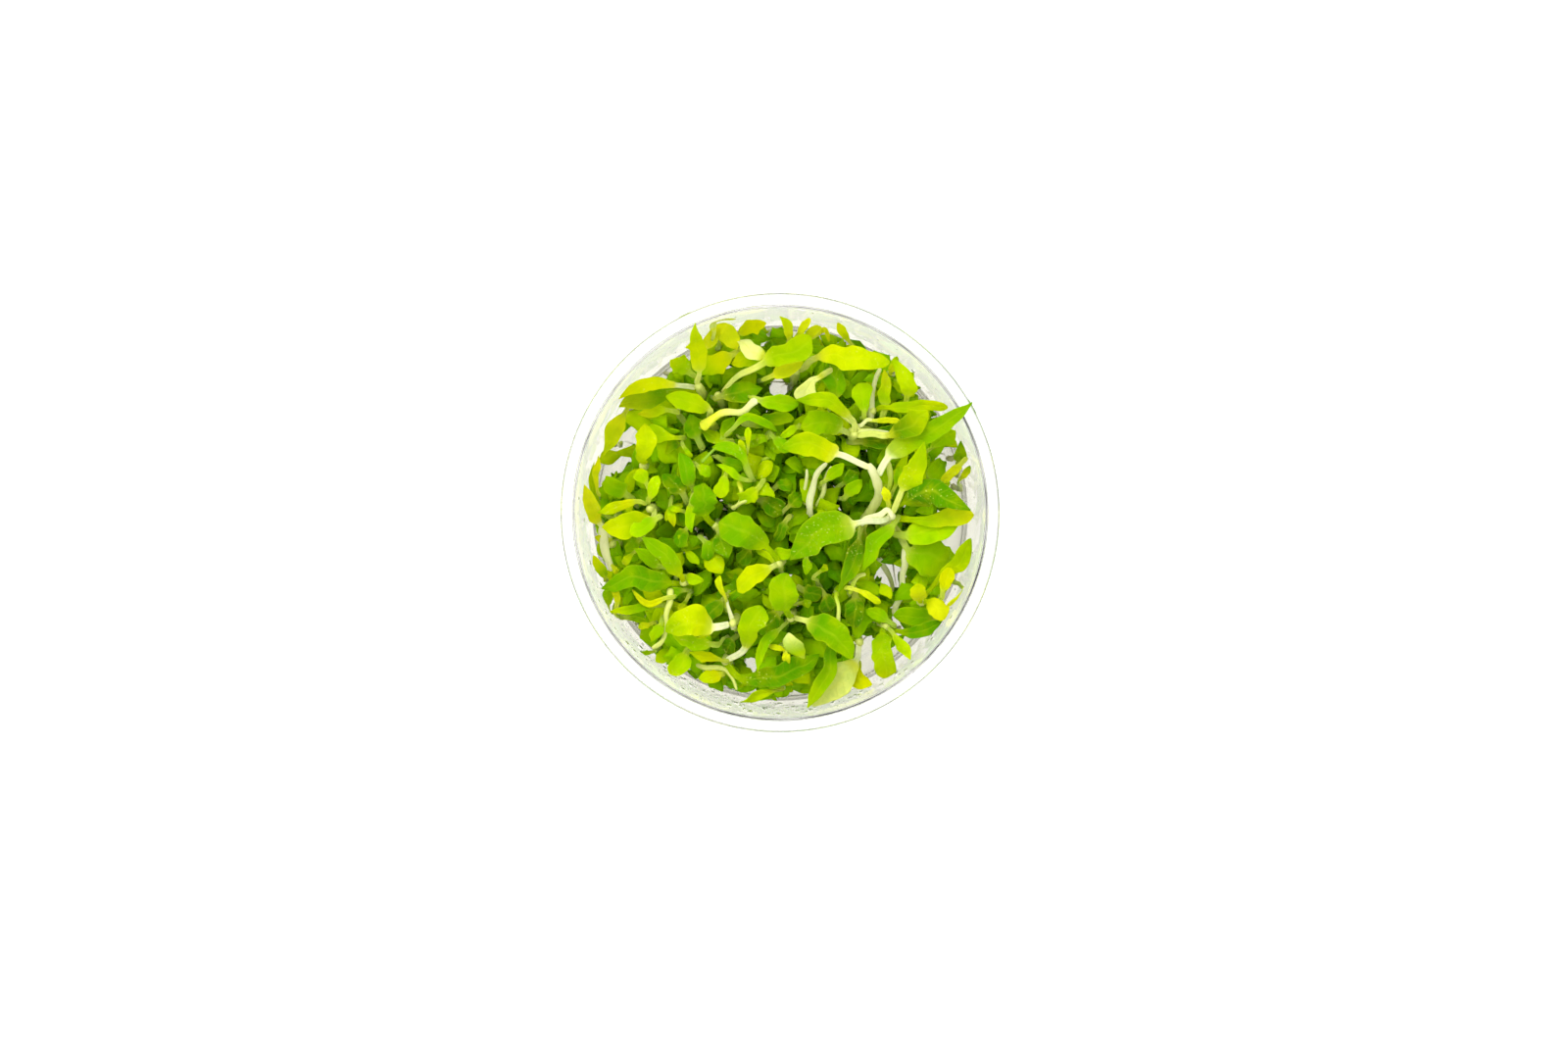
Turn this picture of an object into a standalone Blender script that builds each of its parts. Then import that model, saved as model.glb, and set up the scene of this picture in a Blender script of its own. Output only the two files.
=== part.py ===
"""Water wisteria plants in a round clear culture cup, for Blender 4.5.

Metres, +Z up. The origin is on the surface that the cup stands on, under the middle of the cup.
Sizes below are in millimetres, and MM turns them into metres.
"""
import math
from collections import namedtuple

import bmesh
import bpy
from mathutils import Vector

MM = 0.001
GAP = 0.3

# Cup
CUP_HEIGHT = 48.0
RIM_RADIUS = 45.0
WALL_TOP_RADIUS = 42.6
WALL_FOOT_RADIUS = 40.6
WALL = 0.8
FLANGE_DEPTH = 1.4
FOOT_OUTER_RADIUS = 39.9
FOOT_INNER_RADIUS = 36.2
FLOOR_RISE = 1.2
FLOOR = 1.0
EDGE_ROUND = 0.5
CUP_SEGMENTS = 48

# Gel
GEL_TOP = 9.6
MENISCUS = 0.7
MENISCUS_WIDTH = 1.6

# Stems and leaf stalks
STEM_FOOT_RADIUS = 1.1
STEM_TOP_RADIUS = 0.85
STALK_RADIUS = 0.55
TIP_RADIUS = 0.3
BLADE_HALF_THICKNESS = 0.28
STEM_STEPS = (1, 2, 2)
STALK_STEPS = 2
BLADE_STEPS = 4
MIDDLE = 0.45

# Undergrowth
UNDERGROWTH_RADIUS = 35.8
UNDERGROWTH_LOW = 16.0
UNDERGROWTH_RINGS = 9
UNDERGROWTH_SECTORS = 40
WIDE_BAYS = (5, 1.2)
NARROW_BAYS = (11, 0.8)
BAY_TURN = 0.12
EDGE_DROP = 0.35
EDGE_DROP_POWER = 6
FOOT_SHARE = 0.97
CHANNEL_CLEARANCE = 0.35

# Clumps of young shoots in the undergrowth: the middle of each, its height and its radius, chosen by eye.
CLUMPS = (
    (-5.8, 7.0, 31, 6), (6.4, 1.5, 29, 5), (3.8, 9.7, 30, 5), (-3.0, 15.5, 29, 6), (-18.0, 8.0, 30, 6),
    (-22.0, 3.5, 29, 5), (-32.0, 6.0, 29, 5), (-18.0, -6.5, 30, 6), (-5.0, -18.0, 29, 5), (6.0, -14.5, 28, 5),
    (12.5, -12.0, 30, 5), (-25.0, -22.0, 27, 5), (-3.0, -29.0, 26, 5), (25.0, 8.0, 29, 5), (31.0, 9.5, 28, 5),
    (20.0, -13.0, 28, 5), (30.5, -13.0, 25, 5), (-9.0, 30.5, 28, 5), (9.5, 27.5, 29, 5), (23.0, 27.0, 28, 5),
    (-26.5, 17.0, 27, 5), (-33.0, -12.0, 25, 5), (9.5, 18.0, 28, 6), (-18.0, -29.0, 26, 5),
    (16.5, -20.0, 25, 4),
)

# Each stem is a list of points from its foot on the gel to its top, chosen by eye from the photograph.
STEM_FOOT = GEL_TOP + GAP
STEMS = {
    "stem_01": ((21.5, -3.5, STEM_FOOT), (22.2, -2.0, 24), (23.2, -0.6, 36)),
    "stem_02": ((15.5, -2.5, STEM_FOOT), (18.8, 0.3, 27), (20.5, 4.0, 33), (18.4, 9.9, 39)),
    "stem_03": ((14.0, 14.0, STEM_FOOT), (14.6, 15.2, 22), (15.5, 16.4, 35)),
    "stem_04": ((0.8, -9.5, STEM_FOOT), (0.4, -10.0, 23), (-0.4, -10.7, 36)),
    "stem_05": ((-8.0, -20.0, STEM_FOOT), (-8.9, -21.6, 22), (-9.8, -22.9, 36)),
    "stem_06": ((-18.5, -13.0, STEM_FOOT), (-19.2, -13.8, 22), (-20.1, -14.5, 34)),
    "stem_07": ((2.5, 26.0, STEM_FOOT), (2.8, 27.6, 20), (3.4, 29.6, 31)),
    "stem_08": ((-15.5, 23.0, STEM_FOOT), (-16.0, 24.4, 21), (-17.0, 26.4, 35)),
    "stem_09": ((-11.2, 21.0, STEM_FOOT), (-12.0, 22.8, 20), (-13.0, 24.6, 31)),
    "stem_10": ((-12.6, 15.8, STEM_FOOT), (-13.6, 17.6, 22), (-14.6, 19.3, 34)),
    "stem_11": ((-24.8, 1.5, STEM_FOOT), (-25.8, 1.2, 22), (-27.2, 0.8, 33)),
    "stem_12": ((17.5, 18.8, STEM_FOOT), (18.2, 20.0, 22), (19.2, 21.3, 34)),
    "stem_13": ((-12.6, -3.6, STEM_FOOT), (-13.0, -3.2, 20), (-13.6, -2.6, 30)),
    "stem_14": ((2.6, -19.5, STEM_FOOT), (2.5, -20.8, 22), (2.2, -22.0, 33)),
    "stem_15": ((-10.5, -27.5, STEM_FOOT), (-10.8, -29.4, 20), (-11.5, -31.2, 29)),
    "stem_16": ((-32.5, -6.0, STEM_FOOT), (-33.8, -6.3, 20), (-35.4, -6.5, 30)),
    "stem_17": ((20.2, -21.5, STEM_FOOT), (21.0, -22.6, 20), (22.2, -23.7, 30)),
    "stem_18": ((16.2, -24.0, STEM_FOOT), (16.2, -25.6, 19), (16.6, -27.2, 29)),
    "stem_19": ((27.5, -17.2, STEM_FOOT), (28.4, -17.9, 19), (29.6, -18.7, 29)),
    "stem_20": ((-26.5, 9.0, STEM_FOOT), (-27.4, 9.4, 20), (-28.7, 9.8, 31)),
}

# Each leaf leaves its stem at a height, runs through the points of its path, and its last three points
# are the blade's base, middle and tip. Fold lifts both edges, in degrees. Widest is where along the blade
# it is widest, and full is under 1 for a blunt leaf.
Leaf = namedtuple("Leaf", "stem height path width fold widest full colour")
LEAVES = {
    "leaf_01": Leaf(
        "stem_07", 29.5, ((8, 32.1, 37), (15, 31.6, 42.5), (22.6, 31, 43)),
        5.3, 8, 0.55, 0.7, "yellow_leaf",
    ),
    "leaf_02": Leaf(
        "stem_09", 30, ((-8, 28.6, 34), (-3, 31, 38), (1.8, 33, 41), (6.6, 35.9, 41)),
        5.8, 8, 0.5, 0.7, "lime_leaf",
    ),
    "leaf_03": Leaf(
        "stem_02", 38.5, ((11.4, 12.2, 42.5), (6.5, 13.4, 45), (0.6, 13.8, 43)),
        5.2, 6, 0.45, 0.6, "yellow_leaf",
    ),
    "leaf_04": Leaf(
        "stem_01", 35, ((19, -1.3, 38.5), (15.5, -2.2, 41), (9.3, -3.6, 44), (2.3, -9.9, 40)),
        7.4, 6, 0.45, 0.6, "green_leaf",
    ),
    "leaf_05": Leaf(
        "stem_02", 36.5, ((22.6, 12, 37), (30.8, 16.6, 43.5), (39.2, 22.6, 52.5)),
        5, 8, 0.4, 0.9, "green_leaf",
    ),
    "leaf_06": Leaf(
        "stem_12", 32, ((23.2, 22.2, 37.5), (29.3, 21.9, 41.5), (34.5, 22, 43)),
        2.9, 6, 0.55, 0.6, "lime_leaf",
    ),
    "leaf_07": Leaf(
        "stem_03", 33.5, ((22.5, 16.2, 39.5), (26.6, 18.1, 43.5), (30, 20.9, 46)),
        3.8, 8, 0.55, 0.6, "lime_leaf",
    ),
    "leaf_08": Leaf(
        "stem_01", 35, ((25.2, 5.6, 38), (28.2, 9.8, 42.5), (29.5, 14.7, 44)),
        3.7, 6, 0.5, 0.6, "yellow_leaf",
    ),
    "leaf_09": Leaf(
        "stem_01", 31, ((25.6, 2.2, 36), (31.6, 4.3, 43), (38.9, 0.2, 43)),
        5.3, -8, 0.45, 0.7, "dark_leaf",
    ),
    "leaf_10": Leaf(
        "stem_01", 29, ((27, -1.9, 34), (33.6, -1.1, 36.5), (40, -0.6, 38.5)),
        4.8, 6, 0.6, 0.55, "lime_leaf",
    ),
    "leaf_11": Leaf(
        "stem_01", 25.5, ((25.6, -5.6, 29), (26.6, -7.6, 30.5), (30.6, -8.7, 32), (35.2, -10.2, 30)),
        8.6, 5, 0.5, 0.55, "green_leaf",
    ),
    "leaf_12": Leaf(
        "stem_19", 27, ((33.8, -12.9, 33), (37.3, -9.6, 36.5), (39.5, -5.3, 38)),
        3.2, 6, 0.5, 0.6, "lime_leaf",
    ),
    "leaf_13": Leaf(
        "stem_19", 27, ((31.6, -19.3, 30.6), (32.8, -20, 32.8), (34.1, -21.5, 32)),
        3.2, 6, 0.5, 0.6, "yellow_leaf",
    ),
    "leaf_14": Leaf(
        "stem_19", 28.5, ((28.8, -18.2, 31.5), (28.3, -16.5, 35), (27.9, -14.3, 36.5)),
        4, 6, 0.5, 0.55, "yellow_leaf",
    ),
    "leaf_15": Leaf(
        "stem_17", 28, ((24.8, -24.8, 30), (29.1, -24.7, 31.5), (33.7, -21.9, 31)),
        3, 6, 0.5, 0.7, "dark_leaf",
    ),
    "leaf_16": Leaf(
        "stem_17", 29, ((21.2, -24.8, 32.5), (21.2, -28.8, 36.5), (21.9, -34.1, 36)),
        5.2, 6, 0.5, 0.55, "green_leaf",
    ),
    "leaf_17": Leaf(
        "stem_18", 28, ((15.6, -31, 31), (11.2, -35.5, 34.5), (6, -39.8, 38)),
        5.8, 5, 0.5, 0.6, "pale_leaf",
    ),
    "leaf_18": Leaf(
        "stem_18", 26, ((11.6, -26.6, 31), (9.6, -32.8, 37), (4.9, -40, 41.5)),
        3.4, 8, 0.5, 0.6, "green_leaf",
    ),
    "leaf_19": Leaf(
        "stem_14", 32, ((5.5, -22.4, 35.5), (10.8, -24.6, 38.5), (15.1, -30.3, 38)),
        5.2, 8, 0.5, 0.6, "lime_leaf",
    ),
    "leaf_20": Leaf(
        "stem_15", 27.5, ((-8.2, -34.2, 30), (-1, -34.1, 32.5), (8, -29.3, 31)),
        4.8, 8, 0.6, 0.6, "green_leaf",
    ),
    "leaf_21": Leaf(
        "stem_05", 35, ((-14, -23.3, 38), (-18.6, -22.2, 40.5), (-23.6, -24.5, 38)),
        5.6, 5, 0.55, 0.6, "yellow_leaf",
    ),
    "leaf_22": Leaf(
        "stem_15", 28.5, ((-7.4, -27.8, 32.5), (-6, -23.6, 37), (-3.6, -19.4, 37)),
        4.2, 8, 0.5, 0.6, "lime_leaf",
    ),
    "leaf_23": Leaf(
        "stem_14", 32.5, ((1.4, -19.8, 36.5), (0.6, -16.5, 39), (1.6, -12.7, 38)),
        6.1, 5, 0.5, 0.5, "green_leaf",
    ),
    "leaf_24": Leaf(
        "stem_04", 35, ((-2, -11.5, 38), (-5.4, -12.8, 40), (-8.9, -15.9, 38)),
        3.6, 5, 0.5, 0.65, "yellow_leaf",
    ),
    "leaf_25": Leaf(
        "stem_04", 34.5, ((-2.9, -7.2, 37), (-7.2, -3.9, 39.5), (-12.7, -1.7, 37)),
        7, 5, 0.5, 0.55, "green_leaf",
    ),
    "leaf_26": Leaf(
        "stem_13", 29, ((-15.2, -0.6, 32.5), (-16, 2.8, 35), (-15.8, 5.9, 34)),
        6, 5, 0.5, 0.5, "green_leaf",
    ),
    "leaf_27": Leaf(
        "stem_06", 31, ((-23, -14.8, 33.5), (-29.5, -13.2, 37.5), (-37.2, -15.6, 38)),
        5.8, 6, 0.5, 0.65, "green_leaf",
    ),
    "leaf_28": Leaf(
        "stem_06", 33, ((-21, -12.6, 37), (-23.6, -8.8, 40), (-28.4, -4.8, 39)),
        3.8, 6, 0.45, 0.7, "lime_leaf",
    ),
    "leaf_29": Leaf(
        "stem_11", 31, ((-26.8, -1.6, 34.5), (-31, -2.4, 37), (-37, -2.6, 38.5)),
        5, 5, 0.5, 0.6, "yellow_leaf",
    ),
    "leaf_30": Leaf(
        "stem_16", 28.5, ((-37.4, -2.4, 33), (-39.2, 1.2, 37.5), (-40.2, 5.2, 41)),
        2.8, 5, 0.5, 0.65, "yellow_leaf",
    ),
    "leaf_31": Leaf(
        "stem_20", 30, ((-28.7, 11.2, 34), (-27.8, 14.9, 38), (-28, 18.2, 37)),
        4.1, 5, 0.5, 0.5, "yellow_leaf",
    ),
    "leaf_32": Leaf(
        "stem_08", 30, ((-23.3, 24.3, 33), (-28, 23.5, 36), (-33.1, 21.6, 37.5)),
        4.4, 6, 0.5, 0.6, "dark_leaf",
    ),
    "leaf_33": Leaf(
        "stem_10", 33, ((-15, 21.7, 36.5), (-18.8, 22.9, 39), (-23.5, 24.1, 38.5)),
        4.2, 6, 0.5, 0.6, "lime_leaf",
    ),
    "leaf_34": Leaf(
        "stem_08", 33, ((-21.5, 26.3, 37), (-28, 27, 40.5), (-33.2, 23.4, 41)),
        2.7, 6, 0.5, 0.65, "yellow_leaf",
    ),
    "leaf_35": Leaf(
        "stem_08", 34.5, ((-16.9, 29.6, 39), (-16.9, 34, 44.5), (-17.2, 38.4, 50.5)),
        3.6, 6, 0.35, 0.8, "lime_leaf",
    ),
    "leaf_36": Leaf(
        "stem_03", 34.5, ((14.2, 20, 38.3), (9.4, 23.2, 41.5), (3.2, 22.9, 40)),
        3.4, 6, 0.5, 0.65, "lime_leaf",
    ),
    "leaf_37": Leaf(
        "stem_03", 32, ((12.6, 17.3, 34.4), (9.2, 18.6, 37), (4, 17.8, 35.5)),
        5.6, 5, 0.5, 0.6, "green_leaf",
    ),
}

# Base colour, roughness and transmission of each material.
FINISHES = {
    "clear_plastic": ((0.93, 0.95, 0.93), 0.06, 1.0),
    "gel": ((0.86, 0.88, 0.78), 0.25, 0.8),
    "stalk": ((0.72, 0.78, 0.35), 0.4, 0.0),
    "yellow_leaf": ((0.60, 0.72, 0.01), 0.35, 0.0),
    "lime_leaf": ((0.42, 0.62, 0.01), 0.35, 0.0),
    "green_leaf": ((0.22, 0.45, 0.01), 0.35, 0.0),
    "dark_leaf": ((0.07, 0.20, 0.01), 0.35, 0.0),
    "pale_leaf": ((0.70, 0.78, 0.25), 0.35, 0.0),
    "undergrowth": ((0.10, 0.24, 0.01), 0.5, 0.0),
}


def clear_scene():
    """Remove every object, so that the script can be run again."""
    for obj in list(bpy.data.objects):
        bpy.data.objects.remove(obj, do_unlink=True)


def plain_material(name):
    """The Principled material of one finish, made once."""
    material = bpy.data.materials.get(name)
    if material is None:
        colour, roughness, transmission = FINISHES[name]
        material = bpy.data.materials.new(name)
        material.use_nodes = True
        shader = material.node_tree.nodes["Principled BSDF"]
        shader.inputs["Base Color"].default_value = (*colour, 1.0)
        shader.inputs["Roughness"].default_value = roughness
        shader.inputs["Metallic"].default_value = 0.0
        shader.inputs["Transmission Weight"].default_value = transmission
        material.diffuse_color = (*colour, 1.0)
    return material


def add_object(name, bm, finish, smooth_angle=40.0):
    """Turn a bmesh in millimetres into a named object in metres."""
    bmesh.ops.recalc_face_normals(bm, faces=bm.faces)
    bmesh.ops.scale(bm, vec=(MM, MM, MM), verts=bm.verts)
    mesh = bpy.data.meshes.new(name)
    bm.to_mesh(mesh)
    bm.free()
    mesh.shade_smooth()
    mesh.set_sharp_from_angle(angle=math.radians(smooth_angle))
    mesh.materials.append(plain_material(finish))
    obj = bpy.data.objects.new(name, mesh)
    bpy.context.scene.collection.objects.link(obj)
    return obj


def turned(profile, segments):
    """A closed body turned round Z from a profile that starts and ends on the axis, in radius and height."""
    bm = bmesh.new()
    rings = []
    for radius, height in profile:
        if radius == 0:
            rings.append([bm.verts.new((0, 0, height))])
            continue
        angles = (2 * math.pi * i / segments for i in range(segments))
        rings.append([bm.verts.new((radius * math.cos(a), radius * math.sin(a), height)) for a in angles])
    for lower, upper in zip(rings, rings[1:]):
        for i in range(segments):
            j = (i + 1) % segments
            below = (lower[i % len(lower)], lower[j % len(lower)])
            above = (upper[j % len(upper)], upper[i % len(upper)])
            bm.faces.new(list(dict.fromkeys(below + above)))
    return bm


def wall_radius(height):
    """The radius of the inside of the cup's wall at a height."""
    return WALL_FOOT_RADIUS - WALL + (WALL_TOP_RADIUS - WALL_FOOT_RADIUS) * height / CUP_HEIGHT


def add_cup():
    """The clear cup: foot ring, raised floor, tapered wall and flat flange with rounded edges."""
    under_flange = CUP_HEIGHT - FLANGE_DEPTH
    profile = [
        (0, FLOOR_RISE),
        (FOOT_INNER_RADIUS - FLOOR_RISE, FLOOR_RISE),
        (FOOT_INNER_RADIUS, 0),
        (FOOT_OUTER_RADIUS, 0),
        (wall_radius(EDGE_ROUND) + WALL, EDGE_ROUND),
        (wall_radius(under_flange) + WALL, under_flange),
        (RIM_RADIUS - EDGE_ROUND, under_flange),
        (RIM_RADIUS, under_flange + EDGE_ROUND),
        (RIM_RADIUS, CUP_HEIGHT - EDGE_ROUND),
        (RIM_RADIUS - EDGE_ROUND, CUP_HEIGHT),
        (WALL_TOP_RADIUS - WALL + EDGE_ROUND, CUP_HEIGHT),
        (wall_radius(CUP_HEIGHT - EDGE_ROUND), CUP_HEIGHT - EDGE_ROUND),
        (wall_radius(FLOOR + EDGE_ROUND), FLOOR + EDGE_ROUND),
        (FOOT_OUTER_RADIUS - WALL, FLOOR),
        (FOOT_INNER_RADIUS, FLOOR),
        (FOOT_INNER_RADIUS - FLOOR_RISE, FLOOR_RISE + FLOOR),
        (0, FLOOR_RISE + FLOOR),
    ]
    add_object("cup", turned(profile, CUP_SEGMENTS), "clear_plastic")


def add_gel():
    """The gel: it follows the cup's floor and creeps a little up the wall."""
    floor = FLOOR + GAP
    edge = GEL_TOP + MENISCUS
    profile = [
        (0, floor + FLOOR_RISE),
        (FOOT_INNER_RADIUS - FLOOR_RISE, floor + FLOOR_RISE),
        (FOOT_INNER_RADIUS, floor),
        (FOOT_OUTER_RADIUS - WALL - GAP, floor),
        (wall_radius(floor + EDGE_ROUND) - GAP, floor + EDGE_ROUND),
        (wall_radius(edge) - GAP, edge),
        (wall_radius(edge) - GAP - MENISCUS_WIDTH, GEL_TOP),
        (0, GEL_TOP),
    ]
    add_object("gel", turned(profile, CUP_SEGMENTS), "gel")


def smooth_path(points, steps):
    """Points along a smooth curve through the given ones, with steps[i] stretches between two of them."""
    points = [Vector(p) for p in points]
    spans = [end - start for start, end in zip(points, points[1:])]
    headings = []
    for before, after in zip(spans, spans[1:]):
        weighed = before.normalized() * after.length + after.normalized() * before.length
        headings.append(weighed / (before.length + after.length))
    first, last = spans[0].normalized(), spans[-1].normalized()
    headings = [(3 * first - headings[0]) / 2, *headings, (3 * last - headings[-1]) / 2]
    path = []
    for count, start, span, leaving, arriving in zip(steps, points, spans, headings, headings[1:]):
        bend = (leaving + arriving) * span.length - 2 * span
        swing = 3 * span - (2 * leaving + arriving) * span.length
        for i in range(count):
            t = i / count
            path.append(start + leaving * span.length * t + swing * t ** 2 + bend * t ** 3)
    return path + [points[-1]]


def directions(path):
    """The direction of a path at each of its points."""
    ends = [path[0], *path, path[-1]]
    return [(after - before).normalized() for before, after in zip(ends, ends[2:])]


def loft(rings):
    """A closed body through rings of equally many points, with flat ends."""
    bm = bmesh.new()
    rows = [[bm.verts.new(point) for point in ring] for ring in rings]
    for lower, upper in zip(rows, rows[1:]):
        for i in range(len(lower)):
            bm.faces.new((lower[i - 1], lower[i], upper[i], upper[i - 1]))
    bm.faces.new(rows[0])
    bm.faces.new(rows[-1])
    return bm


def sideways(direction, level):
    """The unit vectors across a direction, as near as can be to a level one, and up from it."""
    across = (level - direction * level.dot(direction)).normalized()
    return across, across.cross(direction)


def tube_rings(path, radii, sides=6):
    """Round rings along a path that rises, each square to the path."""
    rings = []
    for centre, direction, radius in zip(path, directions(path), radii):
        right = direction.cross(Vector((0, 1, 0))).normalized()
        up = right.cross(direction)
        angles = (2 * math.pi * i / sides for i in range(sides))
        rings.append([centre + radius * (right * math.cos(a) + up * math.sin(a)) for a in angles])
    return rings


def stem_path(name):
    """The points along a stem."""
    return smooth_path(STEMS[name], STEM_STEPS[:len(STEMS[name]) - 1])


def stem_radius(fraction):
    """A stem's radius, as a fraction of the way from its foot to its top."""
    return STEM_FOOT_RADIUS + (STEM_TOP_RADIUS - STEM_FOOT_RADIUS) * fraction


def add_stem(name):
    """One stem, thinner towards its top."""
    path = stem_path(name)
    radii = [stem_radius(i / (len(path) - 1)) for i in range(len(path))]
    rings = tube_rings(path, radii)
    rings[0] = [Vector((point.x, point.y, STEM_FOOT)) for point in rings[0]]
    add_object(name, loft(rings), "stalk")


def on_stem(name, height):
    """The point in the middle of a stem at a height, and the stem's direction there."""
    path = stem_path(name)
    lower, upper = next(pair for pair in zip(path, path[1:]) if pair[1].z >= height)
    point = lower.lerp(upper, (height - lower.z) / (upper.z - lower.z))
    return point, (upper - lower).normalized()


def leaf_path(leaf):
    """The points along a leaf, from just outside its stem to its tip, and how many belong to the stalk."""
    inside, along = on_stem(leaf.stem, leaf.height)
    towards = (Vector(leaf.path[0]) - inside).normalized()
    outwards = (towards - along * towards.dot(along)).normalized()
    reach = (STEM_FOOT_RADIUS + STEM_TOP_RADIUS) / 2 + GAP + STALK_RADIUS * abs(towards.dot(along))
    root = inside + outwards * reach
    stalks = len(leaf.path) - 2
    steps = [STALK_STEPS] * stalks + [BLADE_STEPS] * 2
    return smooth_path([root, *leaf.path], steps), STALK_STEPS * stalks


def blade_shape(fraction, leaf):
    """How wide the blade is at a fraction of its length, as a part of its full width."""
    bend = math.log(0.5) / math.log(leaf.widest)
    return max(0.0, math.sin(math.pi * fraction ** bend)) ** leaf.full


def add_leaf(name, leaf):
    """One leaf with its stalk: a thin closed body that widens into the blade."""
    path, stalk_count = leaf_path(leaf)
    level = (path[-1] - path[stalk_count]).cross(Vector((0, 0, 1))).normalized()
    rings = []
    for i, (centre, direction) in enumerate(zip(path, directions(path))):
        fraction = max(0.0, (i - stalk_count) / (2 * BLADE_STEPS))
        shape = blade_shape(fraction, leaf)
        rim = STALK_RADIUS + (TIP_RADIUS - STALK_RADIUS) * fraction
        half_width = rim + (leaf.width / 2 - rim) * shape
        half_thickness = rim + (BLADE_HALF_THICKNESS - rim) * min(1.0, 2 * shape)
        right, up = sideways(direction, level)
        lift = math.tan(math.radians(leaf.fold)) * half_width
        section = [(-1, 0), (-MIDDLE, 1), (MIDDLE, 1), (1, 0), (MIDDLE, -1), (-MIDDLE, -1)]
        rings.append([
            centre + right * half_width * across + up * (half_thickness * side + lift * abs(across))
            for across, side in section
        ])
    add_object(name, loft(rings), leaf.colour)


def undergrowth_height(x, y):
    """The top of the undergrowth, a dome at each clump of young shoots."""
    domes = [
        (top - UNDERGROWTH_LOW) * math.exp(-(math.hypot(x - middle_x, y - middle_y) / radius) ** 2)
        for middle_x, middle_y, top, radius in CLUMPS
    ]
    return UNDERGROWTH_LOW + max(domes)


def undergrowth_edge(angle):
    """The radius of the undergrowth in a direction, in and out between the outer plants."""
    bays = (depth * math.sin(count * (angle + BAY_TURN)) for count, depth in (WIDE_BAYS, NARROW_BAYS))
    return UNDERGROWTH_RADIUS + sum(bays)


def add_undergrowth():
    """The young shoots and small leaves, as one lumpy solid with a channel for each stem."""
    profile_rings = []
    for ring in range(1, UNDERGROWTH_RINGS + 1):
        part = ring / UNDERGROWTH_RINGS
        points = []
        for sector in range(UNDERGROWTH_SECTORS):
            angle = 2 * math.pi * (sector + 0.5 * (ring % 2)) / UNDERGROWTH_SECTORS
            radius = part * undergrowth_edge(angle)
            x, y = radius * math.cos(angle), radius * math.sin(angle)
            fall = 1 - EDGE_DROP * part ** EDGE_DROP_POWER
            points.append((x, y, STEM_FOOT + (undergrowth_height(x, y) - STEM_FOOT) * fall))
        profile_rings.append(points)
    foot_ring = [(x * FOOT_SHARE, y * FOOT_SHARE, STEM_FOOT) for x, y, _ in profile_rings[-1]]
    bm = bmesh.new()
    rows = [[bm.verts.new(point) for point in ring] for ring in (*profile_rings, foot_ring)]
    for inner, outer in zip(rows, rows[1:]):
        for i in range(UNDERGROWTH_SECTORS):
            bm.faces.new((inner[i - 1], inner[i], outer[i], outer[i - 1]))
    top = bm.verts.new((0, 0, undergrowth_height(0, 0)))
    for i in range(UNDERGROWTH_SECTORS):
        bm.faces.new((rows[0][i - 1], rows[0][i], top))
    bm.faces.new(rows[-1])
    undergrowth = add_object("undergrowth", bm, "undergrowth", smooth_angle=60.0)

    channels = bmesh.new()
    for name in STEMS:
        path = stem_path(name)
        radii = [stem_radius(i / (len(path) - 1)) + CHANNEL_CLEARANCE for i in range(len(path))]
        path.insert(0, path[0].lerp(path[1], -0.5))
        radii.insert(0, radii[0])
        channel = loft(tube_rings(path, radii))
        bmesh.ops.recalc_face_normals(channel, faces=channel.faces)
        piece = bpy.data.meshes.new("channel")
        channel.to_mesh(piece)
        channel.free()
        channels.from_mesh(piece)
        bpy.data.meshes.remove(piece)
    cutter = add_object("stem_channels", channels, "undergrowth")
    cutter.hide_render = True
    cutter.display_type = "WIRE"
    cut = undergrowth.modifiers.new("Stem channels", "BOOLEAN")
    cut.operation = "DIFFERENCE"
    cut.solver = "EXACT"
    cut.object = cutter


def main():
    clear_scene()
    add_cup()
    add_gel()
    for name in STEMS:
        add_stem(name)
    for name, leaf in LEAVES.items():
        add_leaf(name, leaf)
    add_undergrowth()


main()
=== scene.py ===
"""The looks of water wisteria plants in a round clear culture cup, for Blender 4.5.

Lengths are in millimetres, as in the part's source, and a finished piece is brought to metres.
The cup, the gel, the stems and the large leaves stand where their solids are. The small leaves and the
young shoots fill the room of the undergrowth solid.
"""
import math
import random
from collections import namedtuple

import bmesh
import bpy
from bpy.props import FloatProperty, FloatVectorProperty, IntProperty, PointerProperty
from mathutils import Matrix, Vector


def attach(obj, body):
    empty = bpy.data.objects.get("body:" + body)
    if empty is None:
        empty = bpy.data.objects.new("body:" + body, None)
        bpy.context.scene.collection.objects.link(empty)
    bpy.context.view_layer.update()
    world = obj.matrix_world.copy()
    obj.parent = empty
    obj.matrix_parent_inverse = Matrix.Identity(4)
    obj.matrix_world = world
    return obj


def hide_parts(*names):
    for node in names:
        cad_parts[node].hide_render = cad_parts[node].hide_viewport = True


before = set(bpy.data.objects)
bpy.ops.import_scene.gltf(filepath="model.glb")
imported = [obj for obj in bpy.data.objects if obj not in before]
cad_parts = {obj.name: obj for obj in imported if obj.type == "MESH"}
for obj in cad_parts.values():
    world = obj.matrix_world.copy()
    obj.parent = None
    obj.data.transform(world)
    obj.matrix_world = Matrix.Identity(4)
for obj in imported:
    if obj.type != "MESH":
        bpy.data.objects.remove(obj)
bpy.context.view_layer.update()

bl_info = {
    "name": "Water Wisteria in a Culture Cup",
    "version": (1, 0, 0),
    "blender": (4, 5, 0),
    "location": "3D View > Sidebar > Wisteria",
    "description": "Young water wisteria plants on gel in a clear round cup",
    "category": "Object",
}

MM = 0.001
BODY = "root"

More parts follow.
